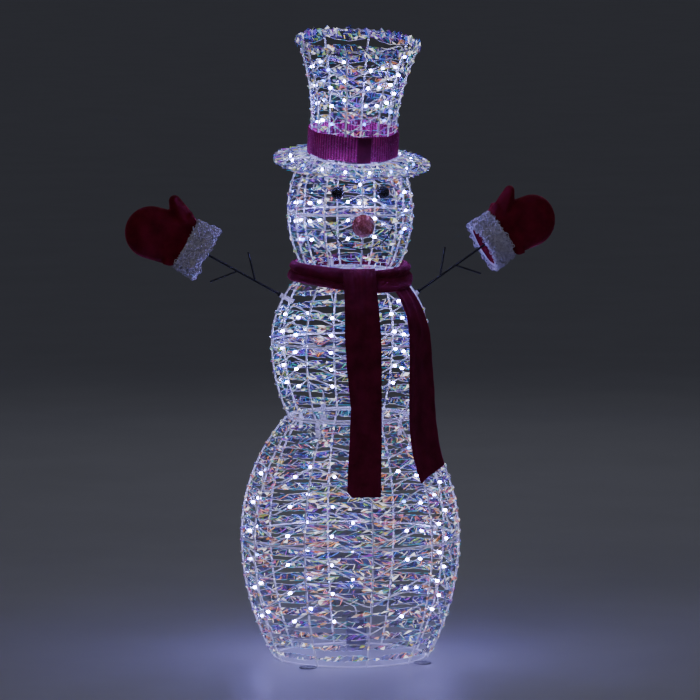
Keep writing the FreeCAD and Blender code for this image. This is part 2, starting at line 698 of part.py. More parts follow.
def make_head_section():
    rings = [
        ring(ring_radius(HEAD_FOOT), HEAD_FOOT[1]),
        ring(ring_radius(HEAD_WIDEST), HEAD_WIDEST[1]),
        hat_frame(ring(ring_radius(HEAD_TOP), -HEAD_RING_BELOW_BRIM)),
    ]
    write("head_rings", rings)
    bay = 360 / HEAD_RIBS
    angles = [k * bay for k in range(HEAD_RIBS)]
    write("head_ribs", [rib(a, HEAD_FOOT, HEAD_WIDEST, head_rib_top(a)) for a in angles])
    neck_r = ring_radius(TORSO_TOP) - WIRE_R - TUBE_OUTER_R + WELD
    write("head_spigots", spigots(neck_r, HEAD_FOOT[1]))
    crown_r = ring_radius(HEAD_TOP) - WIRE_R - TUBE_OUTER_R + WELD
    write("crown_sockets", sockets(crown_r, -HEAD_RING_BELOW_BRIM + 1, hat_frame))
    write("head_film", film_rows(HEAD_RIBS, head_radius, HEAD_FILM))
    neck_plug_r = ring_radius(TORSO_TOP) - WIRE_R - CONNECTOR_R + WELD
    crown_plug_r = ring_radius(HEAD_TOP) - WIRE_R - CONNECTOR_R + WELD
    plug_bottom = TORSO_TOP[1] + 1.6
    write("head_connector_plug", connector_plug(neck_plug_r, plug_bottom, 16))
    socket_top = -HEAD_RING_BELOW_BRIM + 1
    write("head_connector_socket", connector_socket(crown_plug_r, socket_top, hat_frame))
    start = at(CONNECTOR_ANGLE, neck_plug_r, plug_bottom + 16)
    socket_mouth = hat_point(at(CONNECTOR_ANGLE, crown_plug_r, socket_top - CONNECTOR_LENGTH))
    points = [start, start + UP * 12]
    points += zigzag(HEAD_RIBS, head_radius, 216, 2.9, (796, 896), 17)
    points += [socket_mouth - hat_axis() * 22, socket_mouth]
    solid, runs = cable(points, bend_r=16)
    write("head_lamp_cable", solid)
    write("head_lamps", lamps_on(runs[2:-2]))
    make_face()


# ---------------------------------------------------------------- hat


def crown_radius(z):
    """The crown stands straight over the band and then flares on an arc."""
    if z <= CROWN_STRAIGHT:
        return CROWN_BASE_R
    flare = CROWN_TOP_R - CROWN_BASE_R
    rise = CROWN_HEIGHT - CROWN_STRAIGHT
    curve = (flare**2 + rise**2) / (2 * flare)
    return CROWN_BASE_R + curve - math.sqrt(curve**2 - (z - CROWN_STRAIGHT) ** 2)


def crown_rib(angle):
    foot = at(angle, CROWN_BASE_R, -WIRE_R)
    bend_start = at(angle, CROWN_BASE_R, CROWN_STRAIGHT)
    half = (CROWN_STRAIGHT + CROWN_HEIGHT) / 2
    middle = at(angle, crown_radius(half), half)
    top = at(angle, CROWN_TOP_R, CROWN_HEIGHT)
    line = Part.LineSegment(foot, bend_start).toShape()
    return swept([line, arc_through(bend_start, middle, top)], WIRE_R)


def brim_height(radius):
    """Height of the brim spokes' centre line at a radius."""
    inner = CROWN_BASE_R - 2 * WIRE_R + WELD
    return -BRIM_DROOP * (radius - inner) / (BRIM_R - inner)


def brim_film():
    """Wedges of film from the inner brim ring to the outer one, on top of the spokes."""
    count = 40
    half = 3.1
    near = CROWN_BASE_R + 9
    far = BRIM_R - 0.5
    strips = []
    for n in range(count):
        middle = (n + 0.5) * 360 / count
        lift = WIRE_R + 0.1
        corners = [
            at(middle - half, near, brim_height(near) + lift),
            at(middle + half, near, brim_height(near) + lift),
            at(middle + half, far, brim_height(far) + lift),
            at(middle - half, far, brim_height(far) + lift),
        ]
        face = Part.Face(Part.makePolygon(corners + corners[:1]))
        strips.append(face.extrude(UP * FILM_THICK))
    return strips


def brim_cable_points():
    """The lamp cable's way out of the plug and once round under the brim."""
    loop_r = 120.0
    loop_z = brim_height(loop_r) - WIRE_R - CABLE_R - 0.4
    points = [at(CONNECTOR_ANGLE, 87.75, -1.75), at(CONNECTOR_ANGLE, 106.0, -4.2)]
    for n in range(1, 16):
        points.append(at(CONNECTOR_ANGLE + n * 22.5, loop_r, loop_z))
    return points


def brim_lamps(points):
    solids = []
    for a, b in zip(points[3:], points[4:]):
        base = (a + b) * 0.5 + UP * (CABLE_R * 0.5)
        solids.append(lamp(base, UP, BRIM_LAMP_REACH + BRIM_LAMP_R, BRIM_LAMP_R))
    return solids


def make_hat():
    inner_ring = ring(CROWN_BASE_R - 2 * WIRE_R + WELD, 0)
    outer_ring = ring(BRIM_R, -BRIM_DROOP)
    top_ring = ring(CROWN_TOP_R - 2 * WIRE_R + WELD, CROWN_HEIGHT - WIRE_R)
    write("hat_rings", [hat_frame(r) for r in (inner_ring, outer_ring, top_ring)])
    inner_r = CROWN_BASE_R - 2 * WIRE_R + WELD
    spokes = []
    for k in range(CROWN_RIBS):
        angle = k * 360 / CROWN_RIBS
        spokes.append(hat_frame(rod(at(angle, inner_r, 0), at(angle, BRIM_R, -BRIM_DROOP), WIRE_R * 0.9)))
    write("brim_spokes", spokes)
    bay = 360 / CROWN_RIBS
    write("crown_ribs", [hat_frame(crown_rib((k + 0.5) * bay)) for k in range(CROWN_RIBS)])
    rows = film_rows(CROWN_RIBS, crown_radius, CROWN_FILM, bay / 2)
    write("crown_film", [hat_frame(s) for s in rows])
    write("brim_film", [hat_frame(s) for s in brim_film()])
    band_inner = CROWN_BASE_R + WIRE_R + 0.2
    band = tube(UP * BAND_BOTTOM, UP * BAND_TOP, band_inner + BAND_THICK, band_inner)
    write("hat_band", hat_frame(band))
    crown_r = ring_radius(HEAD_TOP) - WIRE_R - TUBE_OUTER_R + WELD
    write("hat_spigots", spigots(crown_r, brim_height(crown_r), hat_frame))
    plug_r = ring_radius(HEAD_TOP) - WIRE_R - CONNECTOR_R + WELD
    plug_bottom = -HEAD_RING_BELOW_BRIM + 2.4
    write("hat_connector_plug", connector_plug(plug_r, plug_bottom, 7.5, hat_frame))
    start = at(CONNECTOR_ANGLE, plug_r - 3.0, plug_bottom + 7.5)
    points = [start, at(CONNECTOR_ANGLE, 68.0, 24)]
    points += zigzag(CROWN_RIBS, crown_radius, 202.5, 3.9, (58, 196), 17)
    crown_cable, crown_runs = cable(points, bend_r=16)
    brim_points = brim_cable_points()
    brim_cable = cable(brim_points, bend_r=60)[0]
    write("hat_lamp_cable", [hat_frame(crown_cable), hat_frame(brim_cable)])
    lamps = lamps_on(crown_runs[2:-1]) + brim_lamps(brim_points)
    write("hat_lamps", [hat_frame(s) for s in lamps])


# ---------------------------------------------------------------- arms and mittens


def make_arm(side, name):
    wire = rod(arm_point(side, ARM_SOCKET_U[0] + 3), arm_point(side, ARM_END_U), ARM_R)
    collar = rod(arm_point(side, ARM_SOCKET_U[1] + 0.6), arm_point(side, ARM_SOCKET_U[1] + 4.6), 4.2)
    wire = wire.fuse(collar)
    for start, end in TWIGS:
        wire = wire.fuse(rod(arm_point(side, *start), arm_point(side, *end), TWIG_R))
    write(f"{name}_arm_wire", wire.removeSplitter())


def local_place(side):
    """Placement whose X runs along the arm, Y across it upwards and Z through the mitten."""
    origin = arm_point(side, 0)
    x_axis = arm_point(side, 1) - origin
    y_axis = arm_point(side, 0, 1) - origin
    z_axis = x_axis.cross(y_axis)
    matrix = FreeCAD.Matrix(
        x_axis.x, y_axis.x, z_axis.x, origin.x,
        x_axis.y, y_axis.y, z_axis.y, origin.y,
        x_axis.z, y_axis.z, z_axis.z, origin.z,
        0, 0, 0, 1,
    )
    return matrix


def belt(circles, half):
    """A plate round circles given counter-clockwise, bounded by their outer tangents."""
    tangents = []
    for (u1, v1, r1), (u2, v2, r2) in zip(circles, circles[1:] + circles[:1]):
        start = Vector(u1, v1, -half)
        end = Vector(u2, v2, -half)
        along = (end - start).normalize()
        narrowing = (r1 - r2) / (end - start).Length
        right = Vector(along.y, -along.x, 0)
        normal = along * narrowing + right * math.sqrt(1 - narrowing**2)
        tangents.append((start + normal * r1, end + normal * r2, math.atan2(normal.y, normal.x)))
    edges = []
    for n, (u, v, radius) in enumerate(circles):
        begin, finish, leaves = tangents[n]
        arrived, arrives = tangents[n - 1][1:]
        turn = (leaves - arrives) % (2 * math.pi)
        half_way = arrives + turn / 2
        middle = Vector(u, v, -half) + Vector(math.cos(half_way), math.sin(half_way), 0) * radius
        edges.append(arc_through(arrived, middle, begin))
        edges.append(Part.makeLine(begin, finish))
    return Part.Face(Part.Wire(edges)).extrude(UP * (2 * half))


def mitten_layer(inset, half):
    """Palm and thumb as one plate, drawn in by inset."""

    def drawn_in(circle):
        return circle[0], circle[1], circle[2] - inset

    palm = belt([drawn_in(c) for c in (WRIST_LOW, PALM, WRIST_HIGH)], half)
    thumb = belt([drawn_in(c) for c in (THUMB_BASE, THUMB_TIP)], half)
    return palm.fuse(thumb)


def padded_mitten():
    """The mitten as layers that grow towards the middle of its thickness."""
    solid = None
    for inset, part in ((8.0, 1.0), (3.0, 0.72), (0.0, 0.4)):
        layer = mitten_layer(inset, MITTEN_HALF_THICK * part)
        solid = layer if solid is None else solid.fuse(layer)
    return solid.removeSplitter()


def make_mitten(side, name):
    matrix = local_place(side)
    bore = Part.makeCylinder(MITTEN_BORE_R, ARM_END_U + 3, Vector(0, 0, 0), Vector(1, 0, 0))
    mitten = padded_mitten().cut(bore)
    mitten.transformShape(matrix, True)
    write(f"{name}_mitten", mitten)
    across, through = CUFF_HALF
    oval = Part.Ellipse(Vector(0, 0, 0), across, through).toShape()
    cuff = Part.Face(Part.Wire(oval)).extrude(UP * (CUFF_U[1] - CUFF_U[0]))
    cuff.rotate(Vector(0, 0, 0), UP, 90)
    cuff.rotate(Vector(0, 0, 0), Vector(0, 1, 0), 90)
    cuff.translate(Vector(CUFF_U[0], CUFF_CENTRE_V, 0))
    cuff = cuff.cut(bore)
    cuff.transformShape(matrix, True)
    write(f"{name}_cuff", cuff)


def main():
    os.makedirs("parts", exist_ok=True)
    make_lower_section()
    make_torso_section()
    make_scarf()
    make_head_section()
    make_hat()
    for side, name in ((-1, "left"), (1, "right")):
        make_arm(side, name)
        make_mitten(side, name)
    axis = hat_axis()
    print(f"hat axis {axis.x:.5f} {axis.y:.5f} {axis.z:.5f}")
    for side, name in ((-1, "left"), (1, "right")):
        along = arm_axis(side)
        print(f"{name} arm axis {along.x:.5f} {along.y:.5f} {along.z:.5f}")


main()
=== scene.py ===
import json
from math import atan2, cos, degrees, exp, hypot, pi, radians, sin, sqrt
import random

import bmesh
import bpy
import numpy as np
from mathutils import Matrix, Vector, noise
from mathutils.geometry import delaunay_2d_cdt


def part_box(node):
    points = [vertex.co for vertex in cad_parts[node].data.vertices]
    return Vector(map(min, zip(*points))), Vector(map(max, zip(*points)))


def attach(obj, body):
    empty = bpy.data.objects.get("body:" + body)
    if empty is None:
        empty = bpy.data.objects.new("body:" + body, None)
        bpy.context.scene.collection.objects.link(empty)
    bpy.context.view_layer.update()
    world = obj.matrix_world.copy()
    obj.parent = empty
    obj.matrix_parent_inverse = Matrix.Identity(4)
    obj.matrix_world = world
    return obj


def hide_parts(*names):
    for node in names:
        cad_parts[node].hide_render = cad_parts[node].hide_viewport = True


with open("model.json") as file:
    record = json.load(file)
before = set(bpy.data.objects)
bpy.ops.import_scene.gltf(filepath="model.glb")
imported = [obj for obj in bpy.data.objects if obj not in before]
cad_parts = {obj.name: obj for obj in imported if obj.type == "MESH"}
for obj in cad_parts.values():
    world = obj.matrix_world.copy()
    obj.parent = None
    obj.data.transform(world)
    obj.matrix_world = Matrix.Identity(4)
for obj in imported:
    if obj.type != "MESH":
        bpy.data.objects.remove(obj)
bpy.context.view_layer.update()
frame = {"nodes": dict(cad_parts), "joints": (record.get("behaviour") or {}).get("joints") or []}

# A lit wire-frame snowman: film tape wound on white wire cages, small lamps inside, a velvet scarf,
# hat band and mittens, curly fleece cuffs. Metres; +Z up; the front faces -Y.
# An angle is counted from the front (-Y) towards +X, in degrees.

NODES = frame["nodes"]
JOINTS = {joint["name"]: joint for joint in frame["joints"]}
UP = Vector((0, 0, 1))
WORLD = Matrix.Identity(4)
SIDES = ("left", "right")

# ---- film tape ----
WIRE_R = 0.0018
FILM_LIFT = 0.0009
# rows of tape as (height of the first, height of the last, how many), the widest ring between groups
LOWER_ROWS = ((0.019, 0.2223, 10), (0.2438, 0.451, 11))
TORSO_ROWS = ((0.482, 0.5972, 6), (0.6188, 0.714, 5))
HEAD_ROWS = ((0.758, 0.844, 5), (0.8655, 0.93, 4))
CROWN_ROWS = ((0.064, 0.213, 8),)
LOWER_BAYS = 10
TORSO_BAYS = 8
HEAD_BAYS = 10
CROWN_BAYS = 8
TAPE_HALF = 0.0067
PINCH = 0.3  # how narrow the tape is at a rib, as a share of its width
CREASE = 0.0016
HEAD_CREASE = 0.0009
CROWN_DROOP = 0.0032
EDGE_WIDTH = 0.0009
FILM_BODY = 0.32  # how much of its tint the tape itself shows; the tint also colours the tape's emission, which is painted lamp light
RIB_LINE_DEGREE = 6
BOX_CLEARANCE = 0.018  # how far the tape stays above the control box, and beside it in degrees
BOX_HALF_ANGLE = 12
ARM_CLEARANCE = 0.022
BRIM_INNER = 0.0775
BRIM_OUTER = 0.147
BRIM_DROOP = 0.01
TOP_RING = 0.1155
BAND_MIDDLE = 0.03  # height of the band's middle above the inner brim ring

# ---- cloth ----
TAIL_THICK = 0.0034
WRAP_THICK = 0.0036
BAND_THICK = 0.0018
BAND_RIB_PITCH = 0.0056
FRONT_TAIL_ANGLE = -3.0
SIDE_TAIL_ANGLE = 42.0

# ---- mitten outline in the arm's frame, as circles (x, y, radius) ----
MITTEN_PALM = ((0.2245, -0.0415, 0.012), (0.28, -0.0145, 0.05), (0.2245, 0.0375, 0.012))
MITTEN_THUMB = ((0.24, 0.0355, 0.022), (0.27, 0.0595, 0.011))
MITTEN_STEP = 0.0032
MITTEN_ROUND = 0.029  # how far in from the outline the mitten reaches its full thickness
CURLS = 1000
CUFF_RIM = 0.12  # the share of the cuff whose curls lean out over its open end

# ---- eyes: colours of the glitter, and their shares added up ----
EYE_TINTS = ((0.008, 0.008, 0.02), (0.12, 0.12, 0.32), (0.75, 0.72, 0.95))
EYE_SHARES = (0.9, 0.97, 1.0)

# ---- camera and light ----
CAMERA_AZIMUTH = -12.0
CAMERA_DISTANCE = 10.0
CAMERA_HEIGHT = 1.62
AIM_HEIGHT = 0.59
LENS = 271.0

HORIZON = (0.278, 0.288, 0.336, 1.0)
ZENITH = (0.55, 0.57, 0.66, 1.0)

# the tape's colours: tints that paint its iridescent reflections; scaled up as an emission they are painted
# lamp light, and WHITE and LAVENDER also paint highlights
WHITE = (0.92, 0.9, 1.0)
LAVENDER = (0.48, 0.42, 1.0)
WARM_TINTS = (
    (1.0, 0.24, 0.28), (1.0, 0.36, 0.12), (1.0, 0.48, 0.32), (0.95, 0.2, 0.55), (1.0, 0.66, 0.55)
)
COOL_TINTS = ((0.04, 0.5, 0.85), (0.06, 0.75, 0.5), (0.12, 0.18, 1.0), (0.28, 0.75, 0.22))
PALE_TINTS = ((0.55, 0.9, 0.24), (1.0, 0.68, 0.18), (0.22, 0.74, 1.0), (0.6, 0.5, 1.0))
VIOLET_TINTS = ((0.2, 0.06, 1.0), (0.52, 0.05, 0.95), (0.08, 0.2, 1.0), (0.38, 0.3, 1.0))
# painted shade: dark blue and violet for clear tape that no lamp light reaches
PAINTED_SHADE_TINTS = ((0.12, 0.06, 0.7), (0.06, 0.05, 0.32), (0.36, 0.08, 0.85), (0.04, 0.12, 0.48))


# -------- small helpers


def at(angle, radius, z):
    """The point at an angle from the front, a distance from the axis and a height."""
    turn = radians(angle)
    return Vector((radius * sin(turn), -radius * cos(turn), z))


def lerp(a, b, share):
    return a + (b - a) * share


def smooth(share):
    share = min(max(share, 0.0), 1.0)
    return share * share * (3 - 2 * share)


def link_object(name, data):
    thing = bpy.data.objects.new(name, data)
    bpy.context.scene.collection.objects.link(thing)
    return thing


def aim_object(name, data, place, target):
    """A camera or a light at a place, turned to a target."""
    thing = link_object(name, data)
    thing.location = place
    thing.rotation_euler = (Vector(target) - Vector(place)).to_track_quat("-Z", "Y").to_euler()
    return thing


def make_object(name, points, faces, material, shade_smooth=True):
    mesh = bpy.data.meshes.new(name)
    mesh.from_pydata([tuple(p) for p in points], [], faces)
    mesh.polygons.foreach_set("use_smooth", [shade_smooth] * len(mesh.polygons))
    mesh.materials.append(material)
    mesh.update()
    return link_object(name, mesh)


def face_colours(piece, name, colours):
    """Stores one colour to a face."""
    attribute = piece.data.attributes.new(name, "FLOAT_COLOR", "CORNER")
    rows = []
    for polygon, colour in zip(piece.data.polygons, colours):
        rows.extend([(*colour, 1.0)] * polygon.loop_total)
    attribute.data.foreach_set("color", np.array(rows, np.float32).ravel())


def face_values(piece, name, values):
    """Stores one number to a face, as a grey colour."""
    face_colours(piece, name, [(value, value, value) for value in values])


def outward_normals(piece, weld=0.0):
    """Turns all faces outwards, after welding points this close if asked."""
    work = bmesh.new()
    work.from_mesh(piece.data)
    if weld:
        bmesh.ops.remove_doubles(work, verts=work.verts, dist=weld)
        bmesh.ops.holes_fill(work, edges=work.edges)
    bmesh.ops.recalc_face_normals(work, faces=work.faces)
    for face in work.faces:
        face.smooth = True
    work.to_mesh(piece.data)
    work.free()


def declare(piece, body, node=None):
    """Says which body carries a piece and the CAD node it replaces."""
    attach(piece, body)
    if node:
        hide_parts(node)


def local_points(node, matrix):
    """A CAD node's points in a local frame."""
    inverse = matrix.inverted()
    return np.array([inverse @ v.co for v in NODES[node].data.vertices])


def local_box(node, matrix):
    """A CAD node's lowest and highest corner in a local frame."""
    points = local_points(node, matrix)
    return Vector(points.min(0)), Vector(points.max(0))


def axes_matrix(x_axis, y_axis, z_axis, origin):
    matrix = Matrix((x_axis, y_axis, z_axis)).transposed().to_4x4()
    matrix.translation = origin
    return matrix


def rib_line(node, matrix=WORLD):
    """Distance of a cage's ribs from their axis, as a smooth function of height."""
    points = local_points(node, matrix)
    radii = np.hypot(points[:, 0], points[:, 1])
    return np.polynomial.Polynomial.fit(points[:, 2], radii, RIB_LINE_DEGREE)


def circle(count):
    """Evenly spaced angles round a circle, in radians."""
    return [2 * pi * k / count for k in range(count)]


def band_faces(a, b, count):
    """Quads between two rings of points, which start at a and b."""
    nexts = [(k + 1) % count for k in range(count)]
    return [(a + k, a + m, b + m, b + k) for k, m in enumerate(nexts)]


def tube_points(path, radius, sides):
    """Points and faces of a round tube along a path."""
    points, faces = [], []
    count = len(path)
    side = None
    for n, place in enumerate(path):
        heading = (path[min(n + 1, count - 1)] - path[max(n - 1, 0)]).normalized()
        if side is None:
            side = heading.orthogonal().normalized()
        side = (side - heading * side.dot(heading)).normalized()
        other = heading.cross(side)
        wide = radius(n / (count - 1)) if callable(radius) else radius
        for turn in circle(sides):
            points.append(place + side * (wide * cos(turn)) + other * (wide * sin(turn)))
    for n in range(count - 1):
        faces += band_faces(n * sides, (n + 1) * sides, sides)
    faces.append(tuple(reversed(range(sides))))
    faces.append(tuple(range((count - 1) * sides, count * sides)))
    return points, faces


class Batch:
    """Points and faces of many small shapes that make one piece."""

    def __init__(self):
        self.points = []
        self.faces = []

    def add(self, points, faces):
        base = len(self.points)
        self.points.extend(points)
        self.faces.extend(tuple(base + index for index in face) for face in faces)


# -------- materials


class Shader:
    """A Principled material with a few procedural layers."""

    def __init__(self, name, colour, roughness, metallic=0.0, **sockets):
        self.material = bpy.data.materials.new(name)
        self.material.use_nodes = True
        self.nodes = self.material.node_tree.nodes
        self.links = self.material.node_tree.links
        self.surface = self.nodes["Principled BSDF"]
        self.set("Base Color", (*colour, 1.0))
        self.set("Roughness", roughness)
        self.set("Metallic", metallic)
        for socket, value in sockets.items():
            self.set(socket.replace("_", " "), value)
        self.place = self.nodes.new("ShaderNodeTexCoord").outputs["Object"]

    def set(self, socket, value):
        self.surface.inputs[socket].default_value = value

    def link(self, source, socket):
        self.links.new(source, self.surface.inputs[socket])

    def texture(self, kind, scale, **settings):
        node = self.nodes.new(kind)
        self.links.new(self.place, node.inputs["Vector"])
        node.inputs["Scale"].default_value = scale
        for name, value in settings.items():
            node.inputs[name].default_value = value
        return node

    def noise(self, scale, detail=4.0, roughness=0.6):
        return self.texture("ShaderNodeTexNoise", scale, Detail=detail, Roughness=roughness).outputs["Fac"]

    def ramp(self, source, stops):
        """Colours or greys along a value: stops are (place, colour)."""
        node = self.nodes.new("ShaderNodeValToRGB")
        elements = node.color_ramp.elements
        while len(elements) < len(stops):
            elements.new(0.5)
        for element, (place, colour) in zip(elements, stops):
            element.position = place
            element.color = (*colour, 1.0)
        self.links.new(source, node.inputs["Fac"])
        return node.outputs["Color"]

    def tones(self, socket, scale, stops, detail=4.0):
        """Drives a socket with patches of noise."""
        self.link(self.ramp(self.noise(scale, detail), stops), socket)

    def bump(self, scale, strength, distance=0.001, detail=2.0):
        node = self.nodes.new("ShaderNodeBump")
        node.inputs["Strength"].default_value = strength
        node.inputs["Distance"].default_value = distance
        self.links.new(self.noise(scale, detail), node.inputs["Height"])
        self.link(node.outputs["Normal"], "Normal")

    def mix(self, kind, factor, first, second):
        """Mixes two colours; each of the three inputs is a value or a socket."""
        node = self.nodes.new("ShaderNodeMixRGB")
        node.blend_type = kind
        for socket, source in (("Fac", factor), ("Color1", first), ("Color2", second)):
            if isinstance(source, bpy.types.NodeSocket):
                self.links.new(source, node.inputs[socket])
            else:
                node.inputs[socket].default_value = source
        return node.outputs["Color"]

    def attribute(self, name):
        node = self.nodes.new("ShaderNodeAttribute")
        node.attribute_name = name
        return node.outputs["Color"]


def grey(value):
    return (value, value, value)


def mottled(name, dark, light, scale, roughness, bump_scale, bump, metallic=0.0, **sockets):
    """A plain material whose colour, roughness and surface vary a little."""
    shader = Shader(name, light, roughness[0], metallic, **sockets)
    shader.tones("Base Color", scale, [(0.32, dark), (0.68, light)])
    shader.tones("Roughness", scale * 2.3, [(0.3, grey(roughness[0])), (0.7, grey(roughness[1]))])
    shader.bump(bump_scale, bump, detail=3.0)
    return shader.material


def velvet(name, dark, light, sheen_tint, ribbed=False):
    """Short-pile velvet: brushed patches, a fine pile and a bright grazing sheen."""
    shader = Shader(name, light, 0.82, Sheen_Weight=0.9, Sheen_Roughness=0.32, Specular_IOR_Level=0.2)
    shader.set("Sheen Tint", (*sheen_tint, 1.0))
    nap = shader.ramp(shader.noise(34, 6.0, 0.62), [(0.34, dark), (0.62, light)])
    shader.link(nap, "Base Color")
    shader.bump(2600, 0.55, 0.0006)
    if ribbed:
        # painted light and shade on the ribs: lighter on their ridges, darker in their grooves
        ribs = shader.mix("MULTIPLY", 1.0, nap, shader.attribute("painted_rib_shading"))
        dots = shader.texture("ShaderNodeTexVoronoi", 330)
        near = shader.ramp(dots.outputs["Distance"], [(0.1, grey(1.0)), (0.19, grey(0.0))])
        shader.link(shader.mix("MIX", near, ribs, (1.0, 0.45, 0.8, 1.0)), "Base Color")
        shader.link(shader.ramp(near, [(0.0, grey(0.82)), (1.0, grey(0.2))]), "Roughness")
    return shader.material


def film():
    """Clear iridescent tape: thin-film colours, and to each crease a tint that paints its iridescent
    reflection, an emission of painted lamp light and an opacity.
    """
    shader = Shader("iridescent_film", (0.8, 0.8, 1.0), 0.16, IOR=1.7, Coat_Weight=0.3)
    shader.set("Thin Film Thickness", 420.0)
    shader.set("Thin Film IOR", 1.42)
    # painted light: the emission stands for the lamps' light on the tape
    shader.set("Emission Strength", 1.2)
    for name, socket in (("tint", "Base Color"), ("painted_glow", "Emission Color"), ("opacity", "Alpha")):
        shader.link(shader.attribute(f"film_{name}"), socket)
    shader.bump(240, 0.1, 0.0008)
    return shader.material


def lamp():
    """A small cool-white lamp, some of them bluer."""
    shader = Shader("cool_white_lamp", (1.0, 1.0, 1.0), 0.2)
    shader.set("Emission Strength", 240.0)
    blues = [(0.4, (0.004, 0.013, 0.09)), (0.47, (0.3, 0.28, 1.0))]
    shader.tones("Emission Color", 11, blues, 1.0)
    return shader.material


def clear_cable():
    shader = Shader("clear_cable", (0.62, 0.62, 0.74), 0.25, Transmission_Weight=0.55, IOR=1.45)
    # painted light: a faint emission for the lamps' light scattered in the clear cable
    shader.set("Emission Strength", 0.22)
    shader.tones("Emission Color", 60, [(0.3, (0.35, 0.33, 0.75)), (0.7, (0.85, 0.85, 1.0))])
    shader.bump(900, 0.2)
    return shader.material


def fleece():
    shader = Shader("curly_fleece", (0.86, 0.83, 0.84), 0.9, Sheen_Weight=0.6, Sheen_Roughness=0.5)
    shader.set("Subsurface Weight", 0.12)
    shader.set("Subsurface Radius", (0.004, 0.003, 0.003))
    shader.set("Subsurface Scale", 0.4)
    shader.tones("Base Color", 160, [(0.3, (0.6, 0.56, 0.7)), (0.7, (0.9, 0.86, 0.96))])
    shader.bump(3000, 0.5, 0.0005)
    return shader.material


def glitter():
    shader = Shader("black_glitter", (0.02, 0.02, 0.03), 0.22, 0.85, Coat_Weight=0.6)
    shader.link(shader.attribute("glitter_tint"), "Base Color")
    shader.bump(1800, 0.4, 0.0005)
    return shader.material


def copper_cord():
    shader = Shader("copper_cord", (0.3, 0.1, 0.08), 0.3, 0.8, Coat_Weight=0.3)
    coppers = [(0.3, (0.24, 0.032, 0.026)), (0.55, (0.55, 0.12, 0.09)), (0.8, (0.95, 0.42, 0.34))]
    shader.tones("Base Color", 240, coppers, 5.0)
    shader.bump(2400, 0.5, 0.0006)
    return shader.material


FILM = film()
VELVET = velvet("burgundy_velvet", (0.11, 0.004, 0.026), (0.205, 0.008, 0.052), (0.95, 0.12, 0.42))
BAND_VELVET = velvet(
    "ribbed_band_velvet", (0.2, 0.004, 0.085), (0.46, 0.014, 0.2), (1.0, 0.2, 0.7), True
)
OVERLAP_VELVET = velvet("overlap_velvet", (0.075, 0.002, 0.024), (0.15, 0.004, 0.05), (0.8, 0.2, 0.5))
MITTEN_VELVET = velvet("mitten_velvet", (0.11, 0.002, 0.011), (0.205, 0.005, 0.024), (0.9, 0.1, 0.25))
FLEECE = fleece()
GLITTER = glitter()
COPPER = copper_cord()
# painted light: an emission on the white wires for the lamps' light that the tape scatters on to their
# outer side
WIRE_PAINTED_LIGHT = {"Emission_Color": (0.56, 0.52, 1.0, 1.0), "Emission_Strength": 0.14}
# what the CAD nodes are made of, by the ends of their names
NODE_MATERIALS = {
    "_lamps": lamp(),
    "_cable": clear_cable(),
    "_ring _rings _ribs _sockets _spigots _spokes": mottled(
        "white_wire", (0.78, 0.77, 0.86), (0.92, 0.91, 0.98), 50, (0.28, 0.42), 700, 0.15, **WIRE_PAINTED_LIGHT
    ),
    "stake_loops": mottled(
        "galvanised_wire", (0.34, 0.34, 0.36), (0.55, 0.55, 0.58), 90, (0.3, 0.5), 900, 0.2, 0.9
    ),
    "_wire": mottled(
        "black_wire", (0.006, 0.006, 0.009), (0.018, 0.018, 0.022), 70, (0.45, 0.62), 1200, 0.3
    ),
    "_connector_socket _connector_plug": mottled(
        "connector_plastic", (0.55, 0.56, 0.6), (0.74, 0.75, 0.8), 80, (0.35, 0.5), 1500, 0.1
    ),
    "_tray _lid _clips": mottled(
        "box_plastic", (0.17, 0.17, 0.2), (0.25, 0.25, 0.29), 60, (0.42, 0.58), 1800, 0.25
    ),
    "_gasket": mottled("seal_rubber", grey(0.02), grey(0.05), 90, (0.6, 0.8), 1500, 0.3),
    "_screws": mottled(
        "screw_steel", (0.5, 0.5, 0.52), (0.75, 0.75, 0.77), 200, (0.2, 0.4), 2500, 0.2, 1.0
    ),
    "_board": mottled("circuit_board", (0.01, 0.1, 0.04), (0.03, 0.2, 0.08), 180, (0.3, 0.5), 900, 0.3),
    "_inlet": mottled("inlet_plastic", grey(0.02), grey(0.05), 90, (0.35, 0.5), 1500, 0.2),
    "_button": mottled(
        "button_rubber", (0.03, 0.03, 0.04), (0.08, 0.08, 0.09), 120, (0.55, 0.75), 1800, 0.3
    ),
}


def paint_cad_nodes():
    for endings, material in NODE_MATERIALS.items():
        for name, node in NODES.items():
            if name.endswith(tuple(endings.split())):
                node.data.materials.clear()
                node.data.materials.append(material)


# -------- film


class Winding(Batch):
    """Creased film tape: each face has a tint, an emission of painted lamp light and an opacity."""

    def __init__(self, seed, families):
        super().__init__()
        self.random = random.Random(seed)
        self.families = families
        self.tints = []
        self.painted_glows = []
        self.opacities = []

    def face(self, corners, tint, painted_glow, opacity):
        self.faces.append(tuple(corners))
        self.tints.append(tuple(channel * FILM_BODY for channel in tint))
        self.painted_glows.append(tuple(channel * painted_glow for channel in tint))
        self.opacities.append(opacity)

    def finish(self, name, body, node=None):
        piece = make_object(name, self.points, self.faces, FILM, False)
        face_colours(piece, "film_tint", self.tints)
        face_colours(piece, "film_painted_glow", self.painted_glows)
        face_values(piece, "film_opacity", self.opacities)
        declare(piece, body, node)


def clear_look(rng):
    """A facet of clear tape: nearly see-through, mostly in painted shade of deep blue or violet, sometimes
    lit with painted lamp light.
    """
    if rng.random() < 0.84:
        return rng.choice(PAINTED_SHADE_TINTS), rng.uniform(0.0, 0.05), rng.uniform(0.18, 0.5)
    return rng.choice(COOL_TINTS + VIOLET_TINTS), rng.uniform(0.1, 0.45), rng.uniform(0.3, 0.6)


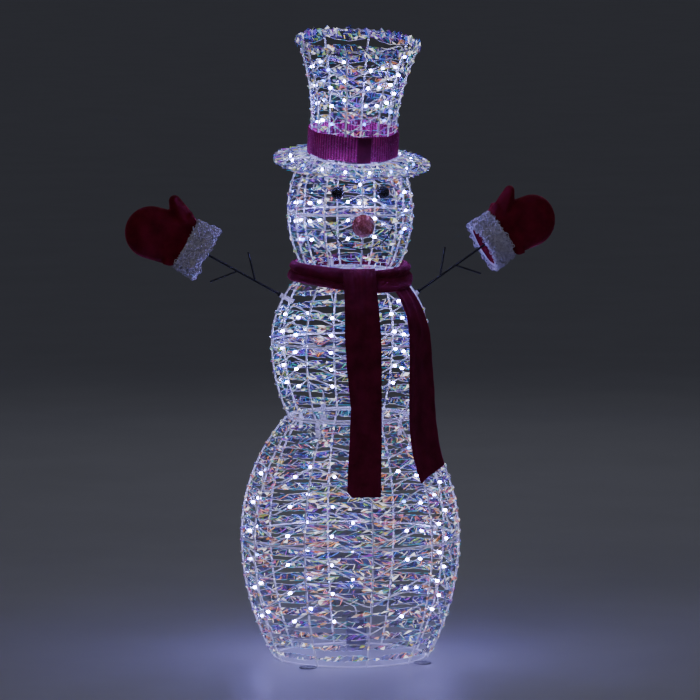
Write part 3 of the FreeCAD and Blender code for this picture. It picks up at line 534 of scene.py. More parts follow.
def crinkled_look(rng, family):
    """A facet of crumpled tape beside a rib: bright with painted lamp light in the bay's own family of
    tints, a white painted highlight, or in painted shade.
    """
    pick = rng.random()
    if pick < 0.46:
        return rng.choice(family), rng.uniform(0.1, 0.75), rng.uniform(0.5, 0.9)
    if pick < 0.57:
        return WHITE, rng.uniform(0.8, 2.2), rng.uniform(0.6, 0.95)
    return rng.choice(PAINTED_SHADE_TINTS), rng.uniform(0.0, 0.05), rng.uniform(0.4, 0.75)


def facet_look(rng, crinkled, family):
    return crinkled_look(rng, family) if rng.random() < crinkled else clear_look(rng)


def painted_highlight_line(tape, start, end, facing, width, tint, painted_glow):
    """A painted highlight on a folded crease or edge: a thin ridge along a line that emits light in its
    tint.
    """
    side = (end - start).cross(facing).normalized() * (width / 2)
    base = len(tape.points)
    tape.points.extend([start - side, end - side * 0.6, end + side * 0.6, start + side])
    tape.face((base, base + 1, base + 2, base + 3), tint, painted_glow, 1.0)


def film_bay(
    tape, start, end, rise, columns, half_width=TAPE_HALF, droop=0.0, wedge=0.33, crease=CREASE
):
    """One bay of tape: crumpled in wedges beside the ribs, clear and creased between them; its facets carry
    painted lamp light and painted shade, and its edges and creases painted highlights.
    """
    rng = tape.random
    vary = rng.uniform
    run = end - start
    outward = run.normalized().cross(rise).normalized()
    slant = vary(0.05, 0.09)
    first_turn = radians(vary(35, 75))
    last_turn = radians(vary(35, 75))
    first_wedge = wedge * vary(0.7, 1.35)
    last_wedge = wedge * vary(0.3, 0.9)
    sag = vary(-0.0012, 0.0012)
    first_family = rng.choice(tape.families)
    last_family = rng.choice(tape.families)
    base = len(tape.points)
    rows = []
    for i in range(columns + 1):
        even = i / columns
        share = 0.5 + (even - 0.5) * (0.72 + 0.56 * abs(even - 0.5))
        opening = sin(pi * share) ** 0.5 if 0 < i < columns else 0.0
        width = half_width * (PINCH + (1 - PINCH) * opening) * vary(0.88, 1.08)
        turn = first_turn * (1 - share) ** 5 - last_turn * share**5
        across = rise * cos(turn) + outward * sin(turn)
        facing = outward * cos(turn) - rise * sin(turn)
        fold = crease * (1 if i % 2 else -1) * (0.25 + 0.75 * opening)
        fall = sag * opening - droop * (1 - abs(2 * share - 1))
        column = []
        for side in (-1, vary(-0.25, 0.25), 1):
            along = share + slant * side * opening
            place = start + run * along + across * (width * side) + rise * fall
            bow = 0.0012 * opening * (1 - side * side)
            column.append(place + facing * (fold * vary(0.5, 1.3) + bow))
        tape.points.extend(column)
        rows.append((share, column, facing))
    for i in range(columns):
        share = (rows[i][0] + rows[i + 1][0]) / 2
        for j in range(2):
            a = base + i * 3 + j
            b = a + 3
            if (i + j) % 2:
                pairs = ((a, b, b + 1), (a, b + 1, a + 1))
            else:
                pairs = ((a, b, a + 1), (b, b + 1, a + 1))
            crinkled = 0.05
            if share < first_wedge:
                crinkled = 0.97 - 0.35 * share / first_wedge
            elif share > 1 - last_wedge:
                crinkled = 0.82
            family = first_family if share < 0.5 else last_family
            for corners in pairs:
                tape.face(corners, *facet_look(rng, crinkled, family))
    # painted highlights along both edges of the tape
    for (_, lower, facing), (_, upper, _) in zip(rows, rows[1:]):
        for side in (0, 2):
            if rng.random() < 0.8:
                tint = rng.choice((WHITE, LAVENDER, LAVENDER, COOL_TINTS[0]))
                lifted = facing * 0.0003
                begin, finish = lower[side] + lifted, upper[side] + lifted
                painted_highlight_line(tape, begin, finish, facing, EDGE_WIDTH, tint, 0.75)
    # painted highlights along some of the creases
    for _ in range(round(columns * 0.45)):
        k = rng.randrange(1, columns)
        share, column, facing = rows[k]
        beside = rows[min(k + 1, columns)][1]
        top, bottom = (column[2], beside[0]) if rng.random() < 0.7 else (beside[2], column[0])
        if share < first_wedge + 0.12:
            tint, painted_glow = rng.choice(first_family[:3] + (WHITE,)), vary(0.8, 2.4)
        else:
            tint, painted_glow = rng.choice(last_family[:3] + (LAVENDER, WHITE)), vary(0.5, 1.6)
        lifted = facing * 0.0006
        part = vary(0.45, 0.85)
        begin = top.lerp(bottom, 0.5 - part / 2) + lifted
        finish = top.lerp(bottom, 0.5 + part / 2) + lifted
        painted_highlight_line(tape, begin, finish, facing, vary(0.0007, 0.0013), tint, painted_glow)


def rib_turn(tape, centre, heading, outward, height=0.0075, radius=0.0024):
    """The tape's turn round a rib, as a short crumpled sleeve, its facets in painted lamp light and painted
    shade.
    """
    rng = tape.random
    vary = rng.uniform
    family = rng.choice(tape.families)
    sides = 7
    sideways = heading.cross(outward).normalized()
    base = len(tape.points)
    for level in (-0.5, 0.0, 0.5):
        wide = radius * (1.15 if level == 0 else 0.95)
        for turn in circle(sides):
            spoke = outward * cos(turn) + sideways * sin(turn)
            point = centre + heading * (height * (level + vary(-0.12, 0.12)))
            tape.points.append(point + spoke * (wide * vary(0.9, 1.25)))
    for ring in (base, base + sides):
        for corners in band_faces(ring, ring + sides, sides):
            tape.face(corners, *facet_look(rng, 0.55, family))


def never(angle, z):
    return False


def make_cage_film(
    cage, body, seed, families, bays, groups, columns,
    matrix=WORLD, first_angle=0.0, droop=0.0, skip=never, crease=CREASE,
):
    """Rows of tape round a cage, in evenly spaced groups, but not where skip(angle, z) says so."""
    line = rib_line(f"{cage}_ribs", matrix)
    tape = Winding(seed, families)
    rng = tape.random
    turn = matrix.to_3x3()
    heights = [lerp(first, last, n / (rows - 1)) for first, last, rows in groups for n in range(rows)]
    for z in heights:
        slope = line(z + 0.001) - line(z - 0.001)
        lift = line(z) + WIRE_R + FILM_LIFT
        for bay in range(bays):
            a = first_angle + bay * 360 / bays
            b = a + 360 / bays
            middle = (a + b) / 2
            if skip(a, z) or skip(b, z):
                continue
            heading = at(a, slope, 0.002).normalized()
            rib_turn(tape, matrix @ at(a, line(z), z), turn @ heading, turn @ at(a, 1, 0))
            if skip(middle, z):
                continue
            rise = turn @ at(middle, slope, 0.002).normalized()
            jitter = Vector((0, 0, rng.uniform(-0.0012, 0.0012)))
            start = matrix @ (at(a, lift, z) + jitter)
            end = matrix @ (at(b, lift, z) - jitter)
            film_bay(tape, start, end, rise, columns, droop=droop, crease=crease)
    tape.finish(f"{cage}_film_winding", body, f"{cage}_film")


def angle_between(a, b):
    return abs((a - b + 180) % 360 - 180)


def behind_control_box():
    """The test for places on the lower cage that the control box covers."""
    low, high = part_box("control_box_lid")
    centre = (low + high) / 2
    box_angle = degrees(atan2(centre.x, -centre.y))
    top = high.z + BOX_CLEARANCE
    return lambda angle, z: z < top and angle_between(angle, box_angle) < BOX_HALF_ANGLE


def near_arm_socket():
    """The test for places on the torso cage that an arm socket takes up."""
    line = rib_line("torso_ribs")
    pivots = [Vector(JOINTS[f"{side}_arm_twist"]["pos_m"]) for side in SIDES]

    def near(angle, z):
        spot = at(angle, line(z), z)
        return any((spot - pivot).length < ARM_CLEARANCE for pivot in pivots)

    return near


def hat_matrix():
    """The hat's own frame, on its leaning axis, with z = 0 at the inner brim ring."""
    axis = Vector(JOINTS["hat_lift"]["axis"]).normalized()
    side = Vector((axis.z, 0, -axis.x)).normalized()
    band_low, band_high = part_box("hat_band")
    origin = (band_low + band_high) / 2 - axis * BAND_MIDDLE
    return axes_matrix(side, axis.cross(side), axis, origin)


HAT = hat_matrix()


def brim_height(radius):
    """Height of the brim spokes in the hat's frame."""
    return -BRIM_DROOP * (radius - BRIM_INNER) / (BRIM_OUTER - BRIM_INNER)


def make_brim_film():
    """Tape wound round the brim: over the spokes, round the outer ring and back below the lamps."""
    tape = Winding(55, (VIOLET_TINTS, VIOLET_TINTS, PALE_TINTS))
    rng = tape.random
    turns = 56
    over_start, under_end = 0.0885, 0.1
    outside = BRIM_OUTER + 0.002
    rim_z = brim_height(BRIM_OUTER)
    lean = HAT.to_3x3()
    for n in range(turns):
        angle = (n + rng.uniform(-0.15, 0.15)) * 360 / turns
        rise = lean @ at(angle + 90, 1, 0)
        near = HAT @ at(angle - 2, over_start, brim_height(over_start) + 0.0034)
        far = HAT @ at(angle + 2, outside, rim_z + rng.uniform(0.0022, 0.0036))
        film_bay(tape, near, far, rise, 7, 0.0078, wedge=0.42)
        below_near = HAT @ at(angle + 5, under_end, brim_height(under_end) - 0.0066)
        below_far = HAT @ at(angle + 2, outside, rim_z - rng.uniform(0.0022, 0.0036))
        film_bay(tape, below_far, below_near, rise, 6, 0.0072, wedge=0.42)
        ring = HAT @ at(angle, BRIM_OUTER, rim_z)
        rib_turn(tape, ring, rise, lean @ at(angle, 1, 0), 0.012, 0.0028)
    tape.finish("brim_film_winding", "hat", "brim_film")


def make_top_frill():
    """Loops of tape round the hat's top ring, standing up unevenly."""
    tape = Winding(66, (VIOLET_TINTS, VIOLET_TINTS, PALE_TINTS))
    rng = tape.random
    vary = rng.uniform
    ring_z = local_box("hat_rings", HAT)[1].z - WIRE_R
    lean = HAT.to_3x3()
    turns = 54
    for n in range(turns):
        angle = (n + vary(-0.35, 0.35)) * 360 / turns
        spoke = at(angle, 1, 0)
        heading = at(angle + 90, 1, 0)
        wide = vary(0.005, 0.0095)
        tall = vary(0.002, 0.009)
        skew = vary(-0.5, 0.5) * wide
        family = rng.choice(tape.families)
        base = len(tape.points)
        centre = at(angle, TOP_RING, ring_z)
        for across in (-1, 0, 1):
            peak = tall if across == 0 else tall * vary(0.0, 0.55)
            inside = ((-0.0024, peak * 0.8), (-0.0038, -0.011))
            outline = ((0.003, -0.01), (0.0034, -0.002), (0.0022, peak)) + inside
            for step, (out, up) in enumerate(outline):
                pinch = 0.5 if step == 1 else 1.0
                sideways = heading * (across * wide * pinch + (skew if step in (2, 3) else 0.0))
                place = centre + spoke * (out * vary(0.8, 1.3)) + sideways
                tape.points.append(HAT @ (place + UP * (up + vary(-0.001, 0.001))))
        count = len(outline)
        for across in range(2):
            for step in range(count - 1):
                a = base + across * count + step
                b = a + count
                tape.face((a, a + 1, b), *facet_look(rng, 0.55, family))
                tape.face((a + 1, b + 1, b), *facet_look(rng, 0.55, family))
        rib_turn(tape, HAT @ centre, lean @ heading, lean @ spoke, 0.008, 0.0026)
    tape.finish("hat_top_frill", "hat")


# -------- cloth


def cloth_sheet(name, columns, rows, surface, thickness, material, closed=False):
    """A closed sheet on a grid: surface(u, v) is its middle, for u and v from 0 to 1."""
    last_u = columns if closed else columns + 1
    middle = [[surface(i / columns, j / rows) for j in range(rows + 1)] for i in range(last_u)]
    front, back = [], []
    for i in range(last_u):
        ahead = (i + 1) % last_u if closed else min(i + 1, columns)
        behind = i - 1 if closed or i else 0
        for j in range(rows + 1):
            across = middle[ahead][j] - middle[behind][j]
            down = middle[i][min(j + 1, rows)] - middle[i][max(j - 1, 0)]
            normal = across.cross(down).normalized()
            edge = min(j, rows - j)
            if not closed:
                edge = min(edge, i, columns - i)
            half = thickness / 2 * (1.0 if edge > 1 else 0.72 if edge else 0.25)
            front.append(middle[i][j] + normal * half)
            back.append(middle[i][j] - normal * half)
    points = front + back
    offset = len(front)
    stride = rows + 1
    faces = []
    for i in range(columns):
        a_row = i * stride
        b_row = ((i + 1) % last_u) * stride
        for j in range(rows):
            a, b, c, d = a_row + j, b_row + j, b_row + j + 1, a_row + j + 1
            faces.append((a, b, c, d))
            faces.append((offset + d, offset + c, offset + b, offset + a))
        for j in (0, rows):
            a, b = a_row + j, b_row + j
            ring = (a, b, offset + b, offset + a)
            faces.append(ring if j else ring[::-1])
    if not closed:
        for i in (0, columns):
            for j in range(rows):
                a = i * stride + j
                ring = (a, a + 1, offset + a + 1, offset + a)
                faces.append(ring[::-1] if i else ring)
    piece = make_object(name, points, faces, material)
    outward_normals(piece)
    return piece


def tail_middle(node, angle):
    """Middle line of a scarf tail's CAD solid, as heights and distances from the axis."""
    turn = Matrix.Rotation(radians(-angle), 4, "Z")
    spans = {}
    for vertex in NODES[node].data.vertices:
        point = turn @ vertex.co
        low, high = spans.get(round(point.z, 4), (9.0, 0.0))
        spans[round(point.z, 4)] = (min(low, -point.y), max(high, -point.y))
    rows = [(z, (low + high) / 2) for z, (low, high) in spans.items() if high - low > 0.005]
    rows.sort(reverse=True)
    return rows


def along_line(rows, share):
    """The point a share of the way down a line of (height, distance) rows, and the line's length."""
    lengths = [0.0]
    for a, b in zip(rows, rows[1:]):
        lengths.append(lengths[-1] + hypot(b[0] - a[0], b[1] - a[1]))
    want = lengths[-1] * share
    z = float(np.interp(want, lengths, [row[0] for row in rows]))
    radius = float(np.interp(want, lengths, [row[1] for row in rows]))
    return z, radius, lengths[-1]


def rounded_line(rows, steps=90, passes=26):
    """The same line in even steps, with its corners rounded."""
    line = [along_line(rows, n / steps)[:2] for n in range(steps + 1)]
    for _ in range(passes):
        inner = [
            ((a[0] + 2 * b[0] + c[0]) / 4, (a[1] + 2 * b[1] + c[1]) / 4)
            for a, b, c in zip(line, line[1:], line[2:])
        ]
        line = line[:1] + inner + line[-1:]
    return line


def wrap_sag(angle):
    """How far the wrap hangs down, most of all on the front beside the front tail."""
    away = (angle + 180) % 360 - 180 - 18
    return 0.0145 * exp(-((away / 55) ** 2))


def make_tail(name, node, angle, rows, widths, slant, folds, seed, sway=((0, 0), (1, 0)), corner=0.0):
    """A hanging tail along rows of (height, distance), with its width and sideways sway along it."""
    rows = rounded_line(rows)
    turn = Matrix.Rotation(radians(angle), 4, "Z")
    rng = random.Random(seed)
    phase = rng.uniform(0, 6)
    length = along_line(rows, 1.0)[2]

    def surface(u, v):
        side = 2 * u - 1
        width = float(np.interp(v, *zip(*widths)))
        cut = slant * (0.5 + 0.5 * side) + corner * smooth((0.24 - u) / 0.24) ** 2
        z, radius, _ = along_line(rows, v * (1 - cut / length))
        gather = 1 - smooth(v * 3.0)
        flute = sin(side * pi * folds + phase) * (0.0004 + 0.0021 * gather)
        flute += 0.0016 * sin(side * 2.1 + v * 5.0 + phase)
        edge_lift = 0.0016 * side * side * (1 - gather)
        fine = noise.noise(Vector((side * 3, v * 14, seed))) * 0.0011
        x = side * width / 2 + float(np.interp(v, *zip(*sway))) + 0.001 * sin(v * 9 + phase)
        return turn @ Vector((x, -(radius + flute + edge_lift + fine), z))

    piece = cloth_sheet(name, 40, 130, surface, TAIL_THICK, VELVET)
    declare(piece, "torso_section", node)
    return piece


def make_neck_wrap(chest):
    low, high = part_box("scarf_neck_wrap")

    def wrap(u, v):
        """Soft rolls with a slanting crease between them, that sags at the front."""
        angle = 360 * u
        flat = (angle + 180) % 360 - 180
        turn = radians(angle)
        if flat < 5:
            crease = 0.42 + 0.34 * smooth((flat + 105) / 95)
        else:
            crease = 0.34 + 0.16 * smooth((flat - 20) / 70)
        crease = lerp(crease, 0.45, smooth((abs(flat) - 110) / 50)) + 0.03 * sin(3 * turn)
        share = v / crease if v < crease else (v - crease) / (1 - crease)
        belly = sin(pi * share) ** 0.7
        front = exp(-(((flat - 8) / 40) ** 2))
        gather_turn = turn * 22 + 4 * sin(turn * 2) + v * (3 + 5 * front)
        gather = (0.0007 + 0.0009 * front) * sin(gather_turn)
        slack = noise.noise(Vector((cos(turn) * 2.2, sin(turn) * 2.2, v * 5))) * 0.0013
        sag = wrap_sag(angle)
        top = high.z - 0.0015 - 0.75 * sag
        bottom = low.z + 0.001 - 1.15 * sag
        z = lerp(top, bottom, v)
        radius = lerp(0.1045, 0.113, v) + 0.0065 * belly + slack + gather * belly
        under = 0.004 * exp(-(((flat - 42) / 24) ** 2))
        return at(angle, max(radius, chest(z) + 0.0056 + under + 0.003 * belly), z)

    piece = cloth_sheet("scarf_neck_velvet", 240, 34, wrap, WRAP_THICK, VELVET, True)
    declare(piece, "torso_section", "scarf_neck_wrap")


def make_scarf():
    chest = rib_line("torso_ribs")
    wrap_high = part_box("scarf_neck_wrap")[1]
    outer = wrap_high.x
    make_neck_wrap(chest)
    top = wrap_high.z - 0.75 * wrap_sag(FRONT_TAIL_ANGLE)
    # over the top of the wrap, then down its front
    rows = [(top + 0.001, outer - 0.011), (top + 0.0035, outer - 0.005), (top + 0.0005, outer + 0.0005)]
    rows += [row for row in tail_middle("scarf_front_tail", FRONT_TAIL_ANGLE) if row[0] < top - 0.004]
    widths = (
        (0, 0.062), (0.12, 0.063), (0.32, 0.07), (0.45, 0.067), (0.63, 0.059), (0.8, 0.061), (1, 0.063)
    )
    sway = ((0, -0.001), (0.3, 0.0), (0.63, 0.004), (0.8, 0.001), (1, -0.005))
    front = make_tail(
        "scarf_front_velvet", "scarf_front_tail", FRONT_TAIL_ANGLE, rows, widths,
        slant=-0.004, folds=3.2, seed=3, sway=sway, corner=0.01,
    )
    # tucked under the wrap, close to the chest, then hanging clear of it
    tucked = ((0.731, 0.0042), (0.722, 0.0042), (0.708, 0.0056), (0.694, 0.0085))
    rows = [(z, chest(z) + lift) for z, lift in tucked]
    rows += [row for row in tail_middle("scarf_side_tail", SIDE_TAIL_ANGLE) if row[0] < 0.68]
    widths = ((0, 0.046), (0.12, 0.054), (0.32, 0.072), (0.6, 0.083), (1, 0.091))
    side = make_tail(
        "scarf_side_velvet", "scarf_side_tail", SIDE_TAIL_ANGLE, rows, widths, slant=0.03, folds=2.2, seed=8
    )


def make_hat_band():
    low, high = local_box("hat_band", HAT)
    radius = high.x - BAND_THICK
    ribs = round(2 * pi * radius / BAND_RIB_PITCH)

    def band(u, v):
        turn = 2 * pi * u
        ripple = 0.0014 * abs(cos(turn * ribs / 2))
        wave = 0.0007 * sin(turn * 5 + 1) * sin(pi * v)
        edge = 0.0012 * sin(turn * 7 + 0.5) * (1 - v) + 0.0008 * sin(turn * 9) * v
        z = lerp(high.z + 0.0004, low.z + 0.0004, v) + edge
        return HAT @ at(360 * u, radius + ripple + wave, z)

    piece = cloth_sheet("hat_band_velvet", ribs * 10, 14, band, BAND_THICK, BAND_VELVET, True)
    inverse = HAT.inverted()
    centres = [inverse @ face.center for face in piece.data.polygons]
    turns = [atan2(centre.x, -centre.y) for centre in centres]
    # painted light and shade: each rib lighter on its ridge and darker in its grooves
    face_values(piece, "painted_rib_shading", [lerp(0.48, 1.65, abs(cos(turn * ribs / 2)) ** 2) for turn in turns])
    declare(piece, "hat", "hat_band")

    def overlap(u, v):
        angle = 3.0 + 17.5 * (u - 0.5)
        bow = 0.0011 * sin(pi * u)
        z = lerp(high.z - 0.0005, low.z - 0.0016, v)
        return HAT @ at(angle, radius + 0.0026 + bow, z)

    panel = cloth_sheet("hat_band_overlap", 16, 22, overlap, BAND_THICK, OVERLAP_VELVET)
    declare(panel, "hat")


# -------- mittens


def arm_matrix(side):
    """x runs out along the arm from the shoulder, y across it upwards, z through the mitten."""
    joint = JOINTS[f"{side}_mitten_pull"]
    along = Vector(joint["axis"]).normalized()
    across = (UP - along * UP.dot(along)).normalized()
    origin = Vector(JOINTS[f"{side}_arm_twist"]["pos_m"])
    return axes_matrix(along, across, along.cross(across), origin)


class Outline:
    """Union of rounded plates: each plate is the hull of some circles (x, y, radius)."""

    def __init__(self, plates, directions=120):
        turns = np.arange(directions) * (2 * pi / directions)
        self.normals = np.stack([np.cos(turns), np.sin(turns)], 1)
        self.reaches = []
        for circles in plates:
            reach = [self.normals @ np.array(circle[:2]) + circle[2] for circle in circles]
            self.reaches.append(np.max(reach, 0))

    def depth(self, point, blend=0.006):
        """How far a point is inside the outline, the plates blended where they meet."""
        spot = self.normals @ np.array((point.x, point.y))
        first, second = sorted(float((reach - spot).min()) for reach in self.reaches)
        mix = smooth(0.5 + 0.5 * (first - second) / blend)
        return lerp(second, first, mix) + blend * mix * (1 - mix) * 0.5

    def trace(self, hub, count):
        """Points of the outline, found along rays from a hub inside it."""
        found = []
        for turn in circle(count):
            ray = Vector((cos(turn), sin(turn)))
            inside, outside = 0.0, 0.0015
            while self.depth(hub + ray * outside) > 0:
                inside, outside = outside, outside + 0.0015
            for _ in range(12):
                middle = (inside + outside) / 2
                if self.depth(hub + ray * middle) > 0:
                    inside = middle
                else:
                    outside = middle
            found.append(hub + ray * inside)
        return found


def even_outline(outline, step):
    """The same closed line with its points a step apart."""
    total = [0.0]
    closed = outline + outline[:1]
    for a, b in zip(closed, closed[1:]):
        total.append(total[-1] + (b - a).length)
    count = int(total[-1] / step)
    wanted = [total[-1] * n / count for n in range(count)]
    xs = np.interp(wanted, total, [p.x for p in closed])
    ys = np.interp(wanted, total, [p.y for p in closed])
    return [Vector((float(x), float(y))) for x, y in zip(xs, ys)]


def make_mitten(side):
    matrix = arm_matrix(side)
    low, high = local_box(f"{side}_mitten", matrix)
    thick = high.z
    step = MITTEN_STEP
    shape = Outline((MITTEN_PALM, MITTEN_THUMB))
    hub = Vector((MITTEN_THUMB[0][0] + 0.006, MITTEN_THUMB[0][1] - 0.016))
    outline = even_outline(shape.trace(hub, 360), step)
    flat = list(outline)
    for i in range(int((high.x - low.x) / step) + 1):
        for j in range(int((high.y - low.y) / step) + 2):
            point = Vector((low.x + i * step, low.y + (j + 0.5 * (i % 2)) * step))
            if shape.depth(point) > step * 0.8:
                flat.append(point)
    count = len(outline)
    result = delaunay_2d_cdt(flat, [], [list(range(count))], 1, 1e-7)
    plane, triangles = result[0], [tuple(face) for face in result[2]]
    points, faces = [], []
    seed = 1.0 if side == "left" else 7.0
    for facing in (1, -1):
        for point in plane:
            depth = max(shape.depth(point), 0.0)
            if point.x - low.x < 0.02:
                depth = max(depth, 0.012 + 0.3 * depth)
            full = 1 - min(depth / MITTEN_ROUND, 1)
            rise = thick * sqrt(1 - full**2) ** 1.1
            pucker = noise.noise(Vector((point.x * 130, point.y * 130, seed + facing))) * 0.0016
            pucker *= exp(-depth / 0.011) * min(depth / 0.002, 1)
            slack = noise.noise(Vector((point.x * 26, point.y * 26, seed + facing * 3))) * 0.0018
            height = rise * 0.94 + pucker + slack * min(depth / 0.01, 1)
            points.append((point.x, point.y, facing * height))
    total = len(plane)
    for triangle in triangles:
        faces.append(triangle)
        faces.append(tuple(total + index for index in reversed(triangle)))
    piece = make_object(f"{side}_mitten_velvet", points, faces, MITTEN_VELVET)
    outward_normals(piece, weld=0.00005)
    piece.data.transform(matrix)
    declare(piece, f"{side}_mitten", f"{side}_mitten")


def curl_points(rng, centre, normal, size, wire):
    """One curl of fleece: most of a small turn that stands on the cuff."""
    side = normal.orthogonal().normalized()
    side.rotate(Matrix.Rotation(rng.uniform(0, 2 * pi), 3, normal))
    tip = (normal + side.cross(normal) * rng.uniform(-0.8, 0.8)).normalized()
    path = []
    steps = 8
    for n in range(steps + 1):
        turn = radians(-110 + 300 * n / steps)
        grow = 1 - 0.25 * n / steps
        place = centre + tip * (size * 0.7) + side * (size * grow * cos(turn))
        place += tip * (size * grow * sin(turn))
        path.append(place + side.cross(tip) * (size * 0.35 * n / steps))
    return tube_points(path, lambda share: wire * (1 - 0.45 * share), 4)


def make_cuff(side):
    matrix = arm_matrix(side)
    low, high = local_box(f"{side}_cuff", matrix)
    rng = random.Random(f"{side}_cuff")
    curl = 0.0052
    centre_y = (low.y + high.y) / 2
    tall = (high.y - low.y) / 2 - curl
    deep = high.z - curl
    batch = Batch()

    def skin(u, angle):
        flare = lerp(1.03, 0.97, smooth(u * 1.6))
        turn = radians(angle)
        wave = 1 + 0.03 * sin(3 * turn + 2) + 0.02 * sin(7 * turn)
        wide = flare * wave
        y, z = centre_y + tall * wide * cos(turn), deep * wide * sin(turn)
        return Vector((lerp(low.x, high.x, u), y, z))

    columns, rounds = 10, 64
    points, faces = [], []
    for i in range(columns + 1):
        points += [skin(i / columns, 360 * k / rounds) for k in range(rounds)]
    for i in range(columns):
        faces += band_faces(i * rounds, (i + 1) * rounds, rounds)
    faces.append(tuple(columns * rounds + k for k in range(rounds)))
    # the hollow open end: a rim, then a wall and a floor lined with velvet
    rings = [0]
    for depth, scale in ((0.001, 0.82), (0.007, 0.76)):
        rings.append(len(points))
        for k in range(rounds):
            rim = skin(0, 360 * k / rounds)
            points.append(Vector((low.x + depth, lerp(centre_y, rim.y, scale), rim.z * scale)))
    for near, deep_ring in zip(rings, rings[1:]):
        first_lining_face = len(faces)
        for a, b, c, d in band_faces(near, deep_ring, rounds):
            faces.append((b, a, d, c))
    faces.append(tuple(rings[-1] + k for k in range(rounds))[::-1])
    lining_faces = range(first_lining_face, len(faces))
    batch.add(points, faces)
    for _ in range(CURLS):
        u = rng.random() ** 1.25
        angle = rng.uniform(0, 360)
        here = skin(u, angle)
        sideways = skin(u, angle + 1) - skin(u, angle - 1)
        normal = sideways.cross(Vector((1, 0, 0))).normalized()
        if normal.dot(Vector((0, here.y - centre_y, here.z))) < 0:
            normal = -normal
        if u < CUFF_RIM:
            normal = (normal + Vector((-0.9, 0, 0))).normalized()
        size = rng.uniform(0.0026, 0.0052)
        batch.add(*curl_points(rng, here, normal, size, rng.uniform(0.0008, 0.0013)))
    piece = make_object(f"{side}_cuff_fleece", batch.points, batch.faces, FLEECE)
    piece.data.materials.append(MITTEN_VELVET)
    for n in lining_faces:
        piece.data.polygons[n].material_index = 1
    piece.data.transform(matrix)
    declare(piece, f"{side}_mitten", f"{side}_cuff")


# -------- face


def make_eyes():
    low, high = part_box("eyes")
    radius = (high.z - low.z) / 2
    rng = random.Random(5)
    work = bmesh.new()
    for x in (low.x + radius, high.x - radius):
        centre = Vector((x, (low.y + high.y) / 2, (low.z + high.z) / 2))
        ball = bmesh.ops.create_icosphere(work, subdivisions=5, radius=radius * 0.97)
        for vertex in ball["verts"]:
            vertex.co = vertex.co * rng.uniform(0.975, 1.03) + centre
    mesh = bpy.data.meshes.new("glitter_eyes")
    work.to_mesh(mesh)
    work.free()
    mesh.materials.append(GLITTER)
    piece = link_object("glitter_eyes", mesh)
    tints = rng.choices(EYE_TINTS, cum_weights=EYE_SHARES, k=len(mesh.polygons))
    face_colours(piece, "glitter_tint", tints)
    declare(piece, "head_section", "eyes")


def make_nose():
    """A cone wound with copper cord, with a small knob at its tip."""
    low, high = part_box("nose")
    base_r = (high.x - low.x) / 2
    droop = radians(5.0)
    knob_r = 0.004
    forward = Vector((0, -cos(droop), -sin(droop)))
    base_y = high.y - base_r * sin(droop)
    base = Vector(((low.x + high.x) / 2, base_y, high.z - base_r * cos(droop)))
    length = (base.y - low.y - knob_r) / cos(droop)
    cord_r = 0.0021
    turns = length / (cord_r * 2.5)
    sideways = Vector((1, 0, 0))
    upward = sideways.cross(forward).normalized()
    steps = int(turns * 26)
    rng = random.Random(9)
    path = []
    for n in range(steps + 1):
        share = n / steps
        turn = 2 * pi * turns * share
        spoke = sideways * cos(turn) + upward * sin(turn)
        radius = lerp(base_r - cord_r, 0.0022, share)
        wobble = 0.00025 * sin(turn * 0.37) + rng.uniform(-0.00006, 0.00006)
        path.append(base + forward * (length * share + wobble) + spoke * radius)
    batch = Batch()
    batch.add(*tube_points(path, cord_r, 6))
    core = [base + forward * 0.0005, base + forward * (length - 0.001)]
    batch.add(*tube_points(core, lambda share: lerp(base_r - cord_r * 2.6, 0.0012, share), 40))
    batch.add(*ball_points(base + forward * length, knob_r, 20, 14))
    piece = make_object("nose_winding", batch.points, batch.faces, COPPER)
    declare(piece, "head_section", "nose")


def ball_points(centre, radius, rounds, levels):
    points = [centre + UP * radius]
    for level in range(1, levels):
        tilt = pi * level / levels
        for turn in circle(rounds):
            spoke = Vector((sin(tilt) * cos(turn), sin(tilt) * sin(turn), cos(tilt)))
            points.append(centre + spoke * radius)
    points.append(centre - UP * radius)
    last = len(points) - 1
    faces = []
    for k in range(rounds):
        m = (k + 1) % rounds
        faces.append((0, 1 + k, 1 + m))
        faces.append((last, last - rounds + m, last - rounds + k))
        for level in range(levels - 2):
            a = 1 + level * rounds
            faces.append((a + k, a + rounds + k, a + rounds + m, a + m))
    return points, faces


# -------- stage


def make_camera():
    place = at(CAMERA_AZIMUTH, CAMERA_DISTANCE, CAMERA_HEIGHT)
    data = bpy.data.cameras.new("camera")
    data.lens = LENS
    data.clip_end = 500
    bpy.context.scene.camera = aim_object("camera", data, place, (0, 0, AIM_HEIGHT))


def soft_light(name, place, size, power, colour):
    data = bpy.data.lights.new(name, "AREA")
    data.shape = "DISK"
    data.size = size
    data.energy = power
    data.color = colour
    aim_object(name, data, place, (0, 0, 0.6))


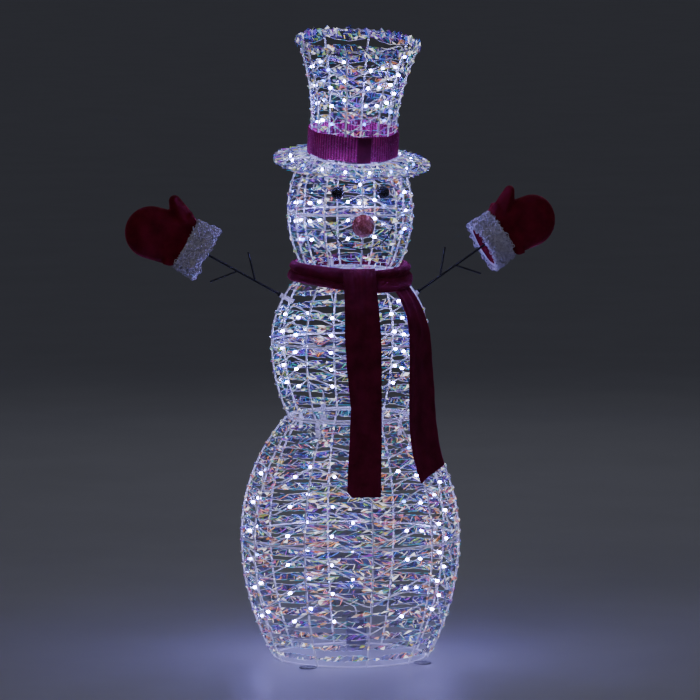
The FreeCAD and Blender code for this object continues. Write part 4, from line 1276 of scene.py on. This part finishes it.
def make_stage():
    shader = Shader("studio_floor", (0.45, 0.45, 0.51), 0.45)
    shader.tones("Base Color", 3.0, [(0.3, (0.43, 0.43, 0.49)), (0.7, (0.47, 0.47, 0.53))])
    reach = 90.0
    corners = [(-reach, -reach, 0), (reach, -reach, 0), (reach, reach, 0), (-reach, reach, 0)]
    floor = make_object("studio_floor", corners, [(0, 1, 2, 3)], shader.material)
    world = bpy.data.worlds.new("studio")
    world.use_nodes = True
    nodes, links = world.node_tree.nodes, world.node_tree.links
    background = nodes["Background"]
    background.inputs["Strength"].default_value = 0.095
    # darker towards the horizon, where it meets the far floor
    direction = nodes.new("ShaderNodeSeparateXYZ")
    links.new(nodes.new("ShaderNodeTexCoord").outputs["Generated"], direction.inputs[0])
    sky = nodes.new("ShaderNodeValToRGB")
    for element, height, colour in zip(sky.color_ramp.elements, (0.0, 0.4), (HORIZON, ZENITH)):
        element.position = height
        element.color = colour
    links.new(direction.outputs["Z"], sky.inputs["Fac"])
    links.new(sky.outputs["Color"], background.inputs["Color"])
    bpy.context.scene.world = world
    soft_light("key", (-2.6, -3.2, 3.4), 2.4, 17.0, (1.0, 0.98, 0.97))
    soft_light("fill", (3.4, -2.4, 1.8), 2.6, 7.0, (0.92, 0.94, 1.0))
    soft_light("rim", (0.8, 3.4, 2.8), 2.2, 8.0, (0.9, 0.92, 1.0))


# -------- build

make_camera()
make_stage()
paint_cad_nodes()
make_cage_film(
    "lower", "lower_section", 11, (WARM_TINTS, WARM_TINTS, WARM_TINTS, PALE_TINTS, VIOLET_TINTS),
    LOWER_BAYS, LOWER_ROWS, 14, skip=behind_control_box(),
)
make_cage_film(
    "torso", "torso_section", 22, (WARM_TINTS, PALE_TINTS, COOL_TINTS, PALE_TINTS, VIOLET_TINTS),
    TORSO_BAYS, TORSO_ROWS, 13, skip=near_arm_socket(),
)
make_cage_film(
    "head", "head_section", 33, (WARM_TINTS, PALE_TINTS, PALE_TINTS, VIOLET_TINTS),
    HEAD_BAYS, HEAD_ROWS, 9, crease=HEAD_CREASE,
)
make_cage_film(
    "crown", "hat", 44, (PALE_TINTS, PALE_TINTS, WARM_TINTS, VIOLET_TINTS),
    CROWN_BAYS, CROWN_ROWS, 10, HAT, 180 / CROWN_BAYS, CROWN_DROOP,
)
make_brim_film()
make_top_frill()
make_scarf()
make_hat_band()
for arm_side in SIDES:
    make_mitten(arm_side)
    make_cuff(arm_side)
make_eyes()
make_nose()
